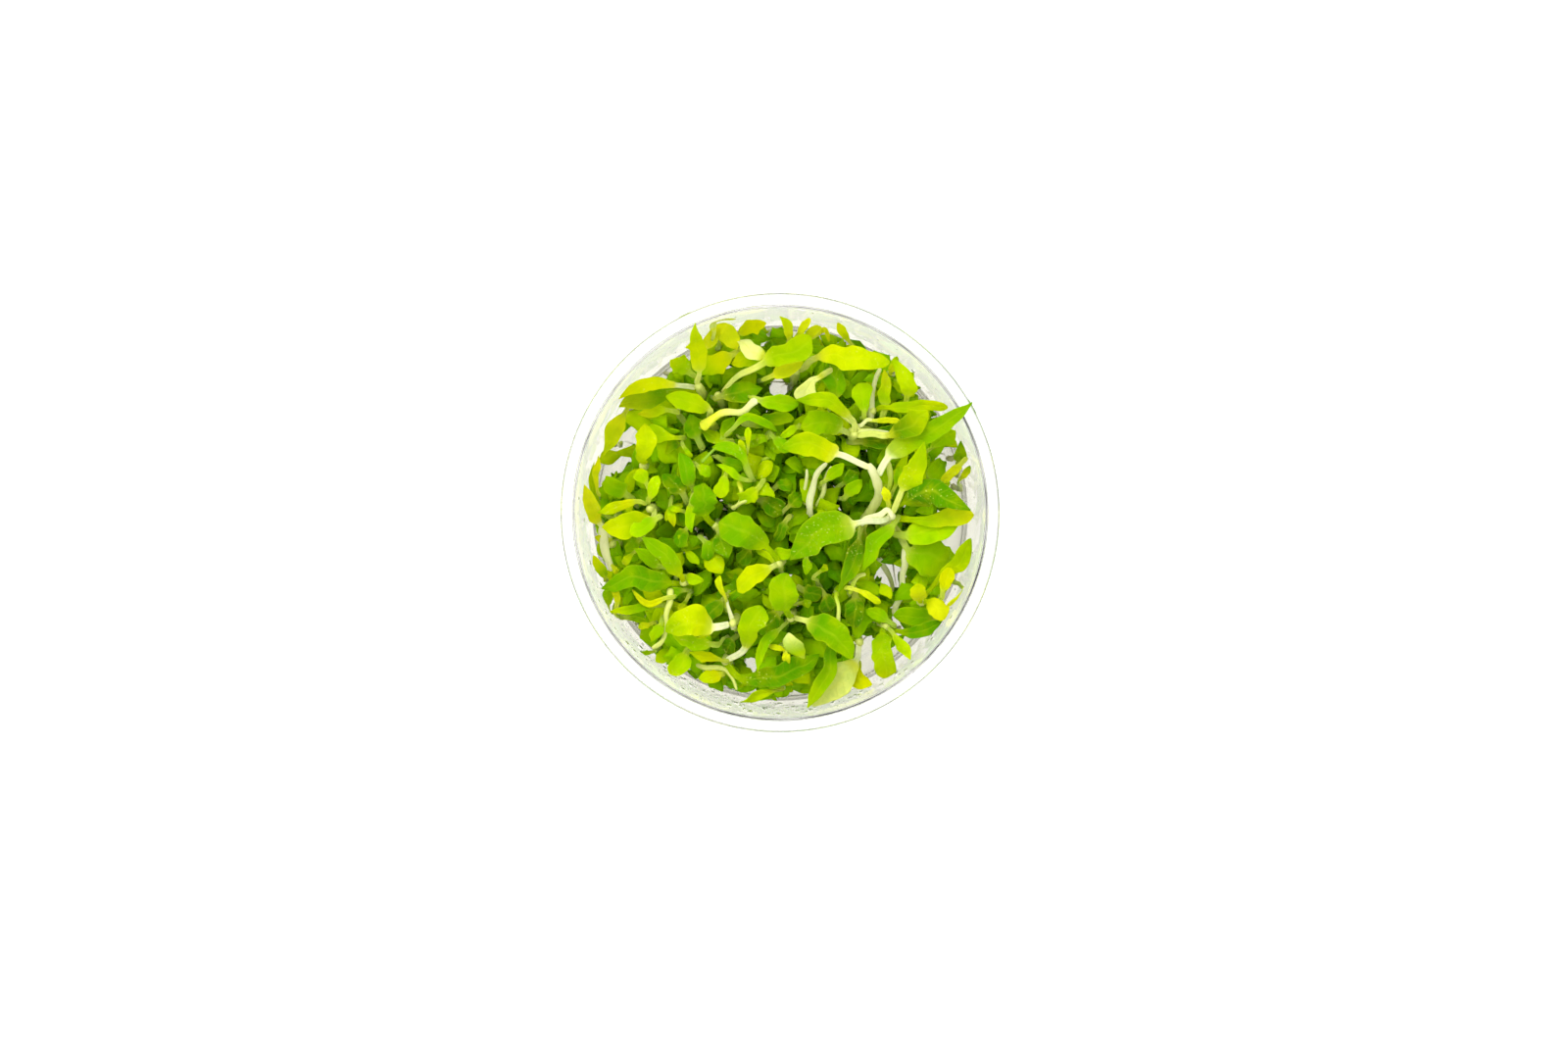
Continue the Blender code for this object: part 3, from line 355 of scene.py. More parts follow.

# The low leaves of each side of the cup, chosen from the photograph: the points from base to tip as
# they show on the plane of the rim, the heights, the width, the outline and the colours of base and tip
# Leaves tinted shade, set low among the others, are dark leaves that stand in for the shade there: painted
# shade
LOW_LEAVES = {
    "north_west": (
        (((-17.5, 28.5), (-20.2, 30.2), (-22.8, 31.5)), (33, 34), 4, "lobed", "fresh", "lime"),
        (((-31, 21), (-33.5, 17), (-36, 11.5)), (30, 32, 32), 3.8, "lance", "lemon", "lime"),
        (((-22.5, 21), (-25.8, 20.8), (-29, 20)), (32, 33), 3.2, "lance", "lime", "lemon"),
        (((-20.6, 15.3), (-27, 16.2)), (31, 32), 4, "funnel", "lime", "spring"),
        (((-16.5, 14.5), (-17.8, 17.5), (-18.5, 20.3)), (30,), 5.2, "toothed", "deep", "dark"),
        (((-20, 19), (-18, 16.5), (-16.5, 14)), (27,), 3, "oval", "dark", "shade"),
    ),
    "north": (
        (((-13.5, 36.5), (-13.5, 39.5), (-9.3, 39.6)), (38, 41, 43), 1.8, "blunt", "pale", "lemon"),
        (((-15.5, 33.5), (-12, 37.3), (-9, 33)), (34, 37, 35), 4, "toothed", "lemon", "lemon"),
        (((-3.5, 31.8), (-6.5, 31.3), (-10, 30.3)), (33,), 4, "oval", "fresh", "yellow"),
        (((-9, 32.5), (-12.5, 31), (-16, 28.5)), (33,), 4.5, "lobed", "yellow", "fresh"),
        (((-9, 36.5), (-6.2, 37.8), (-3.3, 38.3)), (34, 36), 2.7, "lobed", "yellow", "yellow"),
        (((-2.5, 32), (-6, 33.4), (-9.3, 35)), (36, 37.5, 37), 3.4, "lance", "pale", "pale"),
        (((-2.3, 28), (1.5, 29.5), (5, 31)), (35, 36.5, 36), 3.5, "oval", "lemon", "lemon"),
        (((1.8, 35), (1.2, 37.8), (0.2, 40.5)), (36, 40, 42), 2.5, "lance", "lemon", "lime"),
        (((3.5, 36), (6.5, 39.8)), (37, 41), 2, "blunt", "lemon", "lemon"),
        (((5.5, 36), (8, 38)), (36, 38), 2, "oval", "lemon", "lemon"),
        (((7.5, 36.2), (9, 37), (10.3, 35)), (35,), 1.5, "oval", "lemon", "lemon"),
        (((14.3, 34.4), (12, 39)), (34, 38), 2.2, "blunt", "lime", "yellow"),
        (((10.5, 22.5), (11.3, 26), (9.5, 30.6)), (33, 35, 34), 5, "oval", "deep", "dark"),
        (((9.2, 28.6), (6.3, 26.8), (4.6, 22.4)), (36, 37.5, 36), 4.8, "funnel", "pale", "pale"),
        (((-10, 16.8), (-6.5, 19.5), (-0.5, 16.5)), (35, 37, 35), 2, "lance", "grass", "deep"),
        (((-7, 12.8), (-6.6, 17.1)), (35, 38), 1.3, "spoon", "lime", "spring"),
        (((-14.5, 18.3), (-12, 20.3), (-8, 20.5), (-6, 22.1), (-4.2, 22.8)), (35, 37),
         2.0, "stalk", "lemon", "cream"),
        (((-4.6, 22.9), (-1, 22.6), (3.5, 22.2)), (37, 37.5, 36), 3.9, "oval", "fresh", "deep"),
        (((-12.5, 23.7), (-8.5, 24.3), (-3.8, 25.4)), (31, 32, 31), 5, "oval", "shade", "grass"),
        (((-6, 18.5), (-1.5, 19), (3, 19.5)), (32, 33, 32), 4, "oval", "shade", "spring"),
        (((3.5, 17.5), (0, 15.5)), (34, 35), 2.5, "oval", "spring", "spring"),
        (((-2.4, 15.2), (-4.8, 14.4)), (34,), 2.5, "blunt", "deep", "shade"),
        (((-1.5, 15.5), (2, 12.5)), (34,), 3, "oval", "grass", "deep"),
        (((-11, 14.5), (-13.5, 15.5), (-16, 16.5)), (31,), 3, "oval", "spring", "shade"),
        (((-12.2, 15.2), (-11, 17.5), (-9.6, 19.6)), (31,), 3.2, "oval", "fresh", "deep"),
        (((-6.8, 15.2), (-3.4, 15.4)), (33,), 1.9, "blunt", "deep", "grass"),
        (((-19.6, 13.3), (-18.5, 11.2)), (33,), 1.3, "blunt", "grass", "lime"),
        (((-5.6, 10.4), (-3.5, 11), (-1.5, 12.3)), (31,), 1.0, "stalk", "spring", "lime"),
    ),
    "north_east": (
        (((26.3, 23), (26, 27), (22.8, 30.9)), (36, 38, 37), 3.8, "lance", "lime", "spring"),
        (((21, 20.5), (21.6, 25.5), (21.4, 29.6)), (33, 35, 36), 3.5, "lance", "spring", "lemon"),
        (((19, 21), (19.3, 28), (20.5, 29.7)), (33, 34), 1.2, "stalk", "cream", "cream"),
        (((26, 26.5), (27.3, 28.8)), (34, 36), 1.6, "blunt", "spring", "spring"),
        (((22.5, 29), (24, 31.4)), (34, 36), 1.8, "blunt", "lemon", "spring"),
        (((16.5, 18), (18, 19.3), (20, 19.2)), (35, 36.5, 37.5), 1.1, "stalk", "cream", "pale"),
        (((19.6, 19.2), (22, 19), (24.4, 18.7)), (37.5, 38.5), 1.7, "blunt", "lemon", "lemon"),
        (((18, 17), (22, 16.7), (25, 18), (24.5, 20)), (32, 33.5), 3, "oval", "shade", "shade"),
        (((15, 14.5), (23.7, 14.7)), (30, 31), 3.7, "lance", "shade", "shade"),
        (((17.4, 20.2), (16.9, 23.5), (16, 26.6)), (34, 36, 35), 4.2, "blunt", "fresh", "spring"),
        (((30, 12.5), (33, 15), (36, 17)), (33, 34), 4, "oval", "grass", "spring"),
        (((36.7, 10.5), (37.2, 14.9)), (30, 32), 2.6, "oval", "deep", "dark"),
        (((15.5, 16.5), (19, 16.6), (22.5, 16)), (34, 36), 1.2, "stalk", "pale", "cream"),
        (((13, 20), (14.6, 18.5), (16, 16.8)), (34.5,), 1.0, "stalk", "pale", "pale"),
    ),
    "west": (
        (((-34.5, -0.3), (-36.5, 0.5), (-38.2, 3.5), (-38.9, 7), (-38, 10.3)), (31, 33),
         1.6, "lance", "deep", "lime"),
        (((-37.3, 4.5), (-37.3, 11.3)), (34, 38), 1.3, "lance", "lemon", "yellow"),
        (((-31, 3), (-33.5, 5), (-35.5, 8)), (31, 33), 5, "oval", "deep", "fresh"),
        (((-28.8, 1.8), (-32.5, 1.4), (-37, 0.2)), (34.5, 36), 2.6, "lance", "yellow", "spring"),
        (((-25.5, -1.5), (-28.2, -3), (-31, -4)), (38, 39.5), 3.8, "toothed", "grass", "spring"),
        (((-26.5, 3.2), (-24.5, 7.6)), (34, 36), 2.8, "oval", "spring", "spring"),
        (((-26.8, 5.5), (-28.2, 7.3), (-29.3, 9.2)), (33,), 4, "oval", "spring", "lime"),
        (((-19.5, 3), (-21.5, 5.5), (-23.5, 8)), (31,), 4.5, "oval", "shade", "dark"),
        (((-18, 5.2), (-20.5, 12)), (32, 34), 4.0, "oval", "deep", "deep"),
        (((-16.8, 9.4), (-14.3, 8.3)), (33,), 2.4, "blunt", "grass", "grass"),
        (((-17.9, 2.8), (-18.4, -0.5), (-18.1, -4)), (33, 34), 2.4, "lance", "spring", "grass"),
        (((-20, 14), (-25.5, 13)), (29,), 2.7, "oval", "dark", "lime"),
        (((-20, 0.3), (-22.5, 1.1)), (32,), 1.5, "blunt", "lime", "grass"),
        (((-22, 1.5), (-22.2, -3)), (31,), 2, "oval", "spring", "yellow"),
        (((-19, -3), (-20, -5), (-20.8, -7.2)), (31,), 3.5, "toothed", "dark", "dark"),
        (((-23.5, -11), (-26, -9.8), (-29.7, -7.6)), (33, 34), 2.6, "lance", "grass", "fresh"),
        (((-36, -13), (-38, -9)), (31, 33), 2.5, "oval", "grass", "yellow"),
        (((-36, -4.5), (-35.4, -8), (-34.6, -12)), (32, 31), 1.9, "stalk", "cream", "cream"),
        (((-34.6, -10.5), (-33.4, -12.5)), (32,), 1.4, "oval", "lemon", "lemon"),
        (((-35.5, -5.5), (-37.5, -4.7)), (31,), 1.5, "oval", "lemon", "lemon"),
        (((-30, -8.3), (-32, -10.7)), (31,), 2.4, "oval", "lime", "lemon"),
        (((-29, -5.5), (-31.3, -7.5)), (29,), 2.6, "oval", "deep", "spring"),
        (((-20, -13.3), (-16, -14.3)), (33, 34), 2.2, "oval", "spring", "spring"),
    ),
    "middle": (
        (((-7, 7.3), (-13, 9.5)), (34, 35), 2.5, "lance", "fresh", "fresh"),
        (((-11, 8), (-12.1, 5.4), (-12.7, 2.8)), (33, 34), 3.4, "blunt", "spring", "lime"),
        (((-12, 11), (-7, 9)), (31,), 3, "oval", "deep", "deep"),
        (((-5.8, 7.3), (-7, 10.5), (-9.3, 12.6), (-14, 13.3)), (33, 35, 36, 36),
         2.5, "spoon", "grass", "grass"),
        (((-6.2, 8.2), (-7.6, 11.5), (-8.6, 14.3)), (33, 36), 1.7, "spoon", "grass", "lime"),
        (((-13.2, 12.9), (-16, 10.3)), (34, 33), 1.0, "stalk", "grass", "grass"),
        (((-4.5, 5.5), (-6.5, 3.5), (-8.5, 1.5)), (33, 34, 33), 4, "lobed", "lime", "grass"),
        (((-8.2, 5), (-8.7, 2), (-9.5, 1)), (33,), 1.1, "stalk", "yellow", "pale"),
        (((-9, 1.5), (-6.5, 2.3)), (33,), 1.1, "stalk", "pale", "pale"),
        (((-1.8, -8.3), (2.4, -8.2)), (34,), 2.7, "oval", "spring", "grass"),
        (((-0.8, -10.4), (-5.3, -7.3)), (35.5,), 1.6, "lance", "lime", "dark"),
        (((-4, 3), (1, 0)), (28,), 4, "oval", "shade", "shade"),
        (((1.5, 1), (5, 4.3)), (29,), 4, "oval", "shade", "deep"),
        (((-1, 5), (3, 6.6)), (29,), 3, "oval", "shade", "deep"),
        (((1.5, -2), (-1, -6)), (30,), 3.5, "toothed", "shade", "shade"),
        (((6.3, 0.5), (6.4, 4), (7.5, 8), (9.2, 10)), (29, 36), 1.6, "stalk", "cream", "cream"),
        (((5.8, 1.5), (5.3, 4), (5, 8.5)), (27, 33), 0.9, "stalk", "pale", "cream"),
        (((7.5, 1.5), (8.5, 3), (9.3, 6), (10.5, 9)), (27, 34), 1.0, "stalk", "pale", "cream"),
        (((9.3, 6.5), (13, 9.7)), (34, 35), 2.5, "oval", "fresh", "fresh"),
        (((13.5, 3.5), (16.8, 6.8)), (31, 33), 3, "oval", "fresh", "grass"),
        (((12.5, 5.5), (16, 8.8)), (28,), 3.5, "oval", "deep", "shade"),
        (((-12.4, -3.8), (-11.8, -6.5), (-11, -9.6)), (32,), 5, "oval", "shade", "deep"),
        (((-16, -5.8), (-15, -7.5), (-14.4, -9.8)), (31,), 3.4, "oval", "grass", "shade"),
        (((-5.5, -7.5), (-8.8, -10.5)), (29,), 3.5, "oval", "shade", "shade"),
        (((5.5, -9), (5.5, -13)), (33,), 2.2, "oval", "grass", "grass"),
        (((8, -12.5), (9.8, -10.3)), (34,), 1.4, "oval", "deep", "lemon"),
        (((16.3, -4), (14.8, -9.5), (12.3, -16.2)), (34, 36, 34), 4, "lance", "shade", "grass"),
    ),
    "east": (
        (((22, 5.5), (22.3, 8), (22, 10.3)), (33, 35), 1.3, "stalk", "lime", "pale"),
        (((21.3, 5.5), (20.8, 10)), (33,), 2.4, "lance", "fresh", "shade"),
        (((23.2, 5), (24.2, 9)), (33,), 2.4, "lance", "grass", "spring"),
        (((22.3, 2), (21.3, 5.5)), (36, 38), 2.4, "oval", "lemon", "lemon"),
        (((37, 10.5), (33, 6)), (33, 34), 2.5, "oval", "lemon", "lemon"),
        (((37.2, 7), (38.6, 9.8)), (32, 33), 1.8, "oval", "lemon", "dark"),
        (((30, 7), (34, 10)), (29,), 4, "oval", "grass", "grass"),
        (((23.5, -1.7), (19.8, -5.5), (17, -11.5)), (34.5, 36, 35), 4, "oval", "grass", "grass"),
        (((17.5, -3), (15, -8)), (31,), 4, "oval", "shade", "shade"),
        (((15, -15), (16, -13), (17.8, -12.2)), (33,), 0.9, "stalk", "lime", "pale"),
        (((25.5, -8.5), (25.5, -11), (25, -14), (24, -18), (23.5, -21)), (30, 24),
         1.5, "stalk", "cream", "cream"),
        (((20.8, -10.5), (22.6, -13.2), (22.4, -17)), (21, 19), 1.1, "stalk", "cream", "pale"),
        (((24.5, -4.5), (30, -4), (37, -1.6)), (32, 34, 35), 6.6, "oval", "fresh", "fresh"),
        (((33.7, -16), (34.2, -13.8), (34.9, -11.2)), (35.5,), 3.1, "blunt", "yellow", "yellow"),
        (((18, -1.7), (20, -0.7), (22.3, 0.3), (23, -1.2)), (37, 38), 1.2, "stalk", "cream", "cream"),
    ),
    "south_east": (
        (((14.8, -15.7), (17, -16.5), (20.2, -18.7)), (35, 36.5, 36), 1.8, "spoon", "lemon", "lime"),
        (((37.2, -16.5), (34, -19)), (33,), 1, "lance", "lemon", "lemon"),
        (((31.8, -21.3), (23.7, -21)), (26, 27), 4, "oval", "deep", "grass"),
        (((22.6, -24.3), (24.8, -27), (26.9, -30.2)), (31, 33, 34), 2.5, "lance", "spring", "lime"),
        (((22.5, -22.5), (20.5, -21), (18.3, -19.8)), (30,), 3, "oval", "grass", "fresh"),
        (((15, -16.5), (15.3, -20), (15, -23.6)), (30, 31, 30), 5, "oval", "shade", "shade"),
        (((16, -31.8), (16.4, -36)), (29,), 4.6, "funnel", "yellow", "yellow"),
    ),
    "south": (
        (((-0.3, -36.2), (-4, -37), (-8.6, -38.5)), (29, 31, 33), 2.3, "lance", "lime", "fresh"),
        (((-12.6, -33), (-16.5, -33.8)), (29, 30), 3.2, "toothed", "yellow", "spring"),
        (((-16, -31.3), (-12, -32), (-9.5, -33.5), (-8.8, -36)), (28, 29), 1.1, "stalk", "pale", "pale"),
        (((-11.6, -30), (-18.5, -28.5)), (30, 31), 2.7, "lance", "yellow", "lime"),
        (((0, -20), (-2, -22.5), (-4, -25)), (31,), 4, "oval", "shade", "deep"),
        (((0.5, -23), (-3, -26.5), (-4.2, -32.8)), (32, 35, 35), 2.2, "lance", "deep", "spring"),
        (((-2, -26.8), (1, -28)), (33,), 1.6, "oval", "lemon", "yellow"),
        (((0.8, -28.7), (0.8, -31)), (33,), 1.6, "oval", "lemon", "lemon"),
        (((4, -29.8), (2.8, -27), (2.2, -24.3)), (31, 33, 34), 4.4, "oval", "spring", "pale"),
        (((4.4, -18.6), (6.3, -19)), (31,), 2, "blunt", "olive", "fresh"),
        (((-9.5, -22.5), (-10.5, -20), (-11, -18)), (33, 34), 1.2, "stalk", "cream", "cream"),
        (((-11.2, -18.4), (-11.9, -16), (-12.1, -13)), (34, 36, 37), 2.2, "spoon", "lemon", "lime"),
        (((-11.5, -17.5), (-13.5, -20), (-15.5, -22.3)), (31,), 4, "oval", "shade", "shade"),
        (((-9, -26), (-11.5, -29)), (27,), 3.5, "oval", "shade", "shade"),
        (((-8, -14.5), (-9.5, -18.5)), (32,), 2, "oval", "deep", "shade"),
        (((11.5, -17.5), (12, -22.5)), (33, 35), 1.1, "stalk", "lime", "pale"),
        (((4.5, -15.5), (8, -17)), (28,), 3.5, "toothed", "shade", "shade"),
        (((8.5, -16.5), (10.5, -20.5)), (28,), 3.5, "oval", "shade", "shade"),
    ),
    "south_west": (
        (((-22.5, -17), (-22.8, -20), (-23.3, -23), (-24, -26), (-26.3, -27.8)), (34, 33),
         1.3, "stalk", "pale", "pale"),
        (((-24.5, -22.5), (-26.5, -26.5)), (34, 33), 3, "lance", "grass", "spring"),
        (((-24, -18.9), (-29, -19.4), (-34.5, -20.8)), (33, 35, 36), 2.3, "lance", "deep", "lime"),
        (((-23, -17.2), (-27, -18.4), (-30.1, -15.7)), (35, 36, 36.5), 1.9, "lance", "yellow", "lemon"),
        (((-33.5, -19.3), (-33.7, -14.8)), (34, 35), 1.5, "lance", "lemon", "lemon"),
        (((-35, -19.3), (-35, -15)), (31, 33), 2.5, "oval", "grass", "grass"),
        (((-31, -21.5), (-27.5, -22)), (30,), 1.6, "oval", "grass", "spring"),
        (((-26.5, -22.5), (-28.7, -23.5)), (31,), 1.6, "oval", "lemon", "lime"),
        (((-19, -28.6), (-20.4, -30.8), (-22.6, -33)), (30, 32, 32), 4.6, "toothed", "fresh", "lime"),
        (((-22.5, -28.5), (-26, -31)), (27,), 3.5, "oval", "grass", "lime"),
        (((-26.5, -28.3), (-28.8, -28.7)), (30,), 1.2, "oval", "deep", "dark"),
        (((-13.2, -26.4), (-17.3, -26.3), (-22, -25.4)), (33, 35, 34), 3.6, "toothed", "fresh", "fresh"),
        (((-20, -16), (-23.8, -16)), (32,), 2, "oval", "deep", "fresh"),
        (((-19.3, -17.8), (-20.7, -19.6)), (33,), 1.6, "oval", "shade", "lemon"),
    ),
}

# Places where the gel shows between the plants, as seen on the plane of the rim, with their radius
CLEARINGS = (
    (36, -4.9, 2.6), (37, 3, 1.8), (37.5, 6, 1.6), (34.5, 12.5, 1.4), (-1, 25.5, 1.0), (3.5, 28.5, 1.0),
    (-11.3, 31, 0.9), (-31.8, 15.6, 1.3), (-33.4, 10.4, 0.9), (17.5, -30.5, 1.4), (-5.6, -32.2, 1.0),
    (31.2, -21.9, 0.8), (25.3, -23, 0.8), (22.8, -13.8, 1.1), (18.6, -27.2, 1.4),
)

# Dark hollows between the plants, where the young shoots stay low, with their radius
HOLLOWS = (
    (10, -12.5, 3.2), (3.8, -12, 1.6), (-15.8, -3.4, 1.9), (-10.5, -27.2, 2.0), (11.2, 4.5, 1.4),
    (8.5, -16.5, 2.2), (-1.5, -7.0, 1.2),
)
HOLLOW_TOP = 19.0

# The colours of the young leaves up to each height, darker low down as painted shade and lighter higher up as
# painted light
SHOOT_TINTS_WITH_PAINTED_SHADE = (
    (19, ("deep", "deep", "grass")),
    (24, ("deep", "grass", "grass", "fresh")),
    (28, ("grass", "fresh", "spring", "lime")),
    (60, ("fresh", "spring", "lime", "yellow")),
)

# Clumps of young shoots, as in the part's source: the middle of each, its height and its radius
CLUMPS = (
    (-5.8, 7.0, 31, 6), (6.4, 1.5, 29, 5), (3.8, 9.7, 30, 5), (-3.0, 15.5, 29, 6), (-18.0, 8.0, 30, 6),
    (-22.0, 3.5, 29, 5), (-32.0, 6.0, 29, 5), (-18.0, -6.5, 30, 6), (-5.0, -18.0, 29, 5), (6.0, -14.5, 28, 5),
    (12.5, -12.0, 30, 5), (-25.0, -22.0, 27, 5), (-3.0, -29.0, 26, 5), (25.0, 8.0, 29, 5), (31.0, 9.5, 28, 5),
    (20.0, -13.0, 28, 5), (30.5, -13.0, 25, 5), (-9.0, 30.5, 28, 5), (9.5, 27.5, 29, 5), (23.0, 27.0, 28, 5),
    (-26.5, 17.0, 27, 5), (-33.0, -12.0, 25, 5), (9.5, 18.0, 28, 6), (-18.0, -29.0, 26, 5),
    (16.5, -20.0, 25, 4),
)


def swatch(label, red, green, blue):
    """A colour setting, with its default in display values from 0 to 255."""
    return FloatVectorProperty(
        name=label, description=f"The {label.lower()} of the leaves and stalks", subtype="COLOR_GAMMA",
        default=(red / 255, green / 255, blue / 255), min=0, max=1,
    )


def length(label, description, millimetres):
    """A length setting, kept in metres, with its default in millimetres."""
    return FloatProperty(
        name=label, description=description, default=millimetres * MM, min=0,
        unit="LENGTH", subtype="DISTANCE",
    )


def tone(label, description, default):
    """A colour setting, with its default in linear values."""
    return FloatVectorProperty(
        name=label, description=description, subtype="COLOR", default=default, min=0, max=1,
    )


def strength(label, description, default, unit="NONE"):
    """A setting for how strong a light is."""
    return FloatProperty(name=label, description=description, default=default, min=0, unit=unit)


class WisteriaColours(bpy.types.PropertyGroup):
    """The greens, yellows and whites of the plants."""

    lemon: swatch("Lemon", 236, 242, 20)
    yellow: swatch("Yellow", 212, 226, 0)
    lime: swatch("Lime", 188, 218, 0)
    spring: swatch("Spring", 165, 205, 0)
    fresh: swatch("Fresh", 145, 195, 0)
    grass: swatch("Grass", 120, 178, 0)
    deep: swatch("Deep", 90, 155, 0)
    dark: swatch("Dark", 62, 125, 0)
    # Shade is a dark green painted on leaves that lie in shade among the plants: painted shade
    shade: swatch("Shade", 48, 100, 0)
    pale: swatch("Pale", 236, 243, 130)
    cream: swatch("Cream", 247, 248, 200)
    olive: swatch("Olive", 110, 150, 0)


class WisteriaCup(bpy.types.PropertyGroup):
    """The cup, its gel and what has condensed on its wall."""

    plastic: tone("Plastic", "Tint of the clear plastic", (0.87, 0.86, 0.77))
    gel: tone("Gel", "Colour of the cloudy gel", (0.98, 0.97, 0.94))
    drops: IntProperty(
        name="Drops", description="Number of drops on the inside of the wall", default=560, min=0,
    )
    drop_radius: length("Drop radius", "Radius of the largest drops", 0.65)


class WisteriaPlants(bpy.types.PropertyGroup):
    """The stems, leaves, shoots and roots."""

    seed: IntProperty(name="Seed", description="Start of the random draws of plants and drops", default=7)
    blade: length("Blade", "Thickness of a leaf's blade", 0.46)
    stalk: length("Stalk", "Width of a leaf's stalk", 1.4)
    ripple: length("Ripple", "How far the leaves are warped", 1.4)
    shoot_spacing: length("Shoot spacing", "Least distance between two young shoots", 3.3)
    root_length: length("Root length", "Length of the roots in the gel", 9.0)


class WisteriaStage(bpy.types.PropertyGroup):
    """The floor and the light."""

    floor: tone("Floor", "Colour of the floor", (0.6, 0.6, 0.6))
    glow: strength("Glow", "Light that comes up through the floor", 0.65)
    glow_below: strength("Glow below", "Light that comes up through the floor under the cup", 1.15)
    sky: strength("Sky", "Strength of the light from all round", 1.3)
    lamp: strength("Lamp", "Power of the large soft lamp", 11.0, unit="POWER")


def colour_of(name):
    """A named colour of the plants, as linear red, green, blue and alpha."""
    channels = getattr(bpy.context.scene.wisteria_colours, name)
    linear = [c / 12.92 if c <= 0.04045 else ((c + 0.055) / 1.055) ** 2.4 for c in channels]
    return (*linear, 1.0)


def lighter(colour):
    """A leaf colour made lighter by as much as the leaves above take from its light."""
    return [min(LOW_LEAF_GAIN * c, max(LIGHTEST, c)) for c in colour[:3]] + [1.0]


def in_millimetres(value):
    """A length setting in millimetres."""
    return value / MM


def clamped(value, low=0.0, high=1.0):
    """A value held between two limits."""
    return min(high, max(low, value))


def between(low, high, share):
    """The colour that lies a share of the way from one colour to another."""
    return [a + (b - a) * share for a, b in zip(low, high)]


class Maths:
    """A number in a material, so that shader maths reads as plain arithmetic."""

    def __init__(self, finish, socket):
        self.finish = finish
        self.socket = socket

    def worked(self, operation, *numbers):
        """The result of one operation on numbers."""
        node = self.finish.node("ShaderNodeMath", {"operation": operation}, dict(enumerate(numbers)))
        return Maths(self.finish, node.outputs[0])

    def __add__(self, other):
        return self.worked("ADD", self, other)

    __radd__ = __add__

    def __sub__(self, other):
        return self.worked("SUBTRACT", self, other)

    def __rsub__(self, other):
        return self.worked("SUBTRACT", other, self)

    def __mul__(self, other):
        return self.worked("MULTIPLY", self, other)

    __rmul__ = __mul__

    def __abs__(self):
        return self.worked("ABSOLUTE", self)

    def wave(self):
        """The sine."""
        return self.worked("SINE", self)

    def step(self, low, high):
        """0 below low, 1 above high, and smooth between them."""
        settings = {"interpolation_type": "SMOOTHSTEP"}
        node = self.finish.node("ShaderNodeMapRange", settings, {0: self, 1: low, 2: high})
        return Maths(self.finish, node.outputs[0])


class Finish:
    """A new material, with one method that adds its nodes."""

    def __init__(self, name):
        self.material = bpy.data.materials.new(name)
        self.material.use_nodes = True
        self.tree = self.material.node_tree
        self.tree.nodes.clear()

    def node(self, kind, settings=None, sockets=None):
        """Add a node: first its settings, then the values or links of its sockets."""
        node = self.tree.nodes.new(kind)
        for name, value in (settings or {}).items():
            setattr(node, name, value)
        for name, value in (sockets or {}).items():
            if isinstance(value, Maths):
                value = value.socket
            if isinstance(value, bpy.types.NodeSocket):
                self.tree.links.new(value, node.inputs[name])
            else:
                node.inputs[name].default_value = value
        return node

    def place(self):
        """Where a point of the surface is, in the object's own metres."""
        return self.node("ShaderNodeTexCoord").outputs["Object"]

    def noise(self, size, detail=2.0):
        """Soft noise from 0 to 1 whose patches are about so many millimetres wide."""
        sockets = {"Vector": self.place(), "Scale": 1 / (size * MM), "Detail": detail}
        return Maths(self, self.node("ShaderNodeTexNoise", sockets=sockets).outputs["Fac"])

    def tint(self):
        """The colour that is painted on the piece."""
        return self.node("ShaderNodeAttribute", {"attribute_name": "tint"}).outputs["Color"]

    def channels(self, colour):
        """The red, green and blue of a colour."""
        outputs = self.node("ShaderNodeSeparateColor", sockets={0: colour}).outputs
        return [Maths(self, outputs[name]) for name in ("Red", "Green", "Blue")]

    def mix(self, share, first, second):
        """A colour between two others."""
        settings = {"data_type": "RGBA", "clamp_factor": True}
        return self.node("ShaderNodeMix", settings, {0: share, 6: first, 7: second}).outputs[2]

    def bump(self, height, distance):
        """Normals for a surface that rises by height times a distance in millimetres."""
        sockets = {"Height": height, "Distance": distance * MM}
        return self.node("ShaderNodeBump", sockets=sockets).outputs["Normal"]

    def surface(self, sockets):
        """A Principled shader."""
        return self.node("ShaderNodeBsdfPrincipled", sockets=sockets)

    def done(self, shader):
        """Close the material with its shader."""
        self.node("ShaderNodeOutputMaterial", sockets={"Surface": shader.outputs[0]})
        return self.material

    def done_with_glow(self, front, glow, share):
        """Close the material with its surface, of which a share is light that comes through from behind."""
        through = self.node("ShaderNodeBsdfTranslucent", sockets={"Color": glow})
        sockets = {0: share, 1: front.outputs[0], 2: through.outputs[0]}
        return self.done(self.node("ShaderNodeMixShader", sockets=sockets))


def plastic_finish():
    """Clear moulded plastic, misted a little in patches, with a clearer flange."""
    finish = Finish("wisteria_plastic")
    mist = finish.noise(5, detail=3).step(0.45, 0.75)
    height = Maths(finish, finish.node("ShaderNodeSeparateXYZ", sockets={0: finish.place()}).outputs["Z"])
    flange = height.step((CUP_HEIGHT - 2 * FLANGE_DEPTH) * MM, (CUP_HEIGHT - FLANGE_DEPTH) * MM)
    plastic = (*bpy.context.scene.wisteria_cup.plastic, 1)
    shader = finish.surface({
        "Base Color": finish.mix(flange, plastic, CLEAR_FLANGE),
        "Roughness": 0.02 + 0.06 * mist,
        "IOR": 1.49,
        "Transmission Weight": 1.0,
        "Normal": finish.bump(finish.noise(14, detail=1), 0.05),
    })
    return finish.done(shader)


def drop_finish():
    """Water that has condensed on the wall."""
    finish = Finish("wisteria_drop")
    shader = finish.surface({
        "Base Color": (1, 1, 1, 1),
        "Roughness": 0.01,
        "IOR": 1.33,
        "Transmission Weight": 1.0,
    })
    return finish.done(shader)


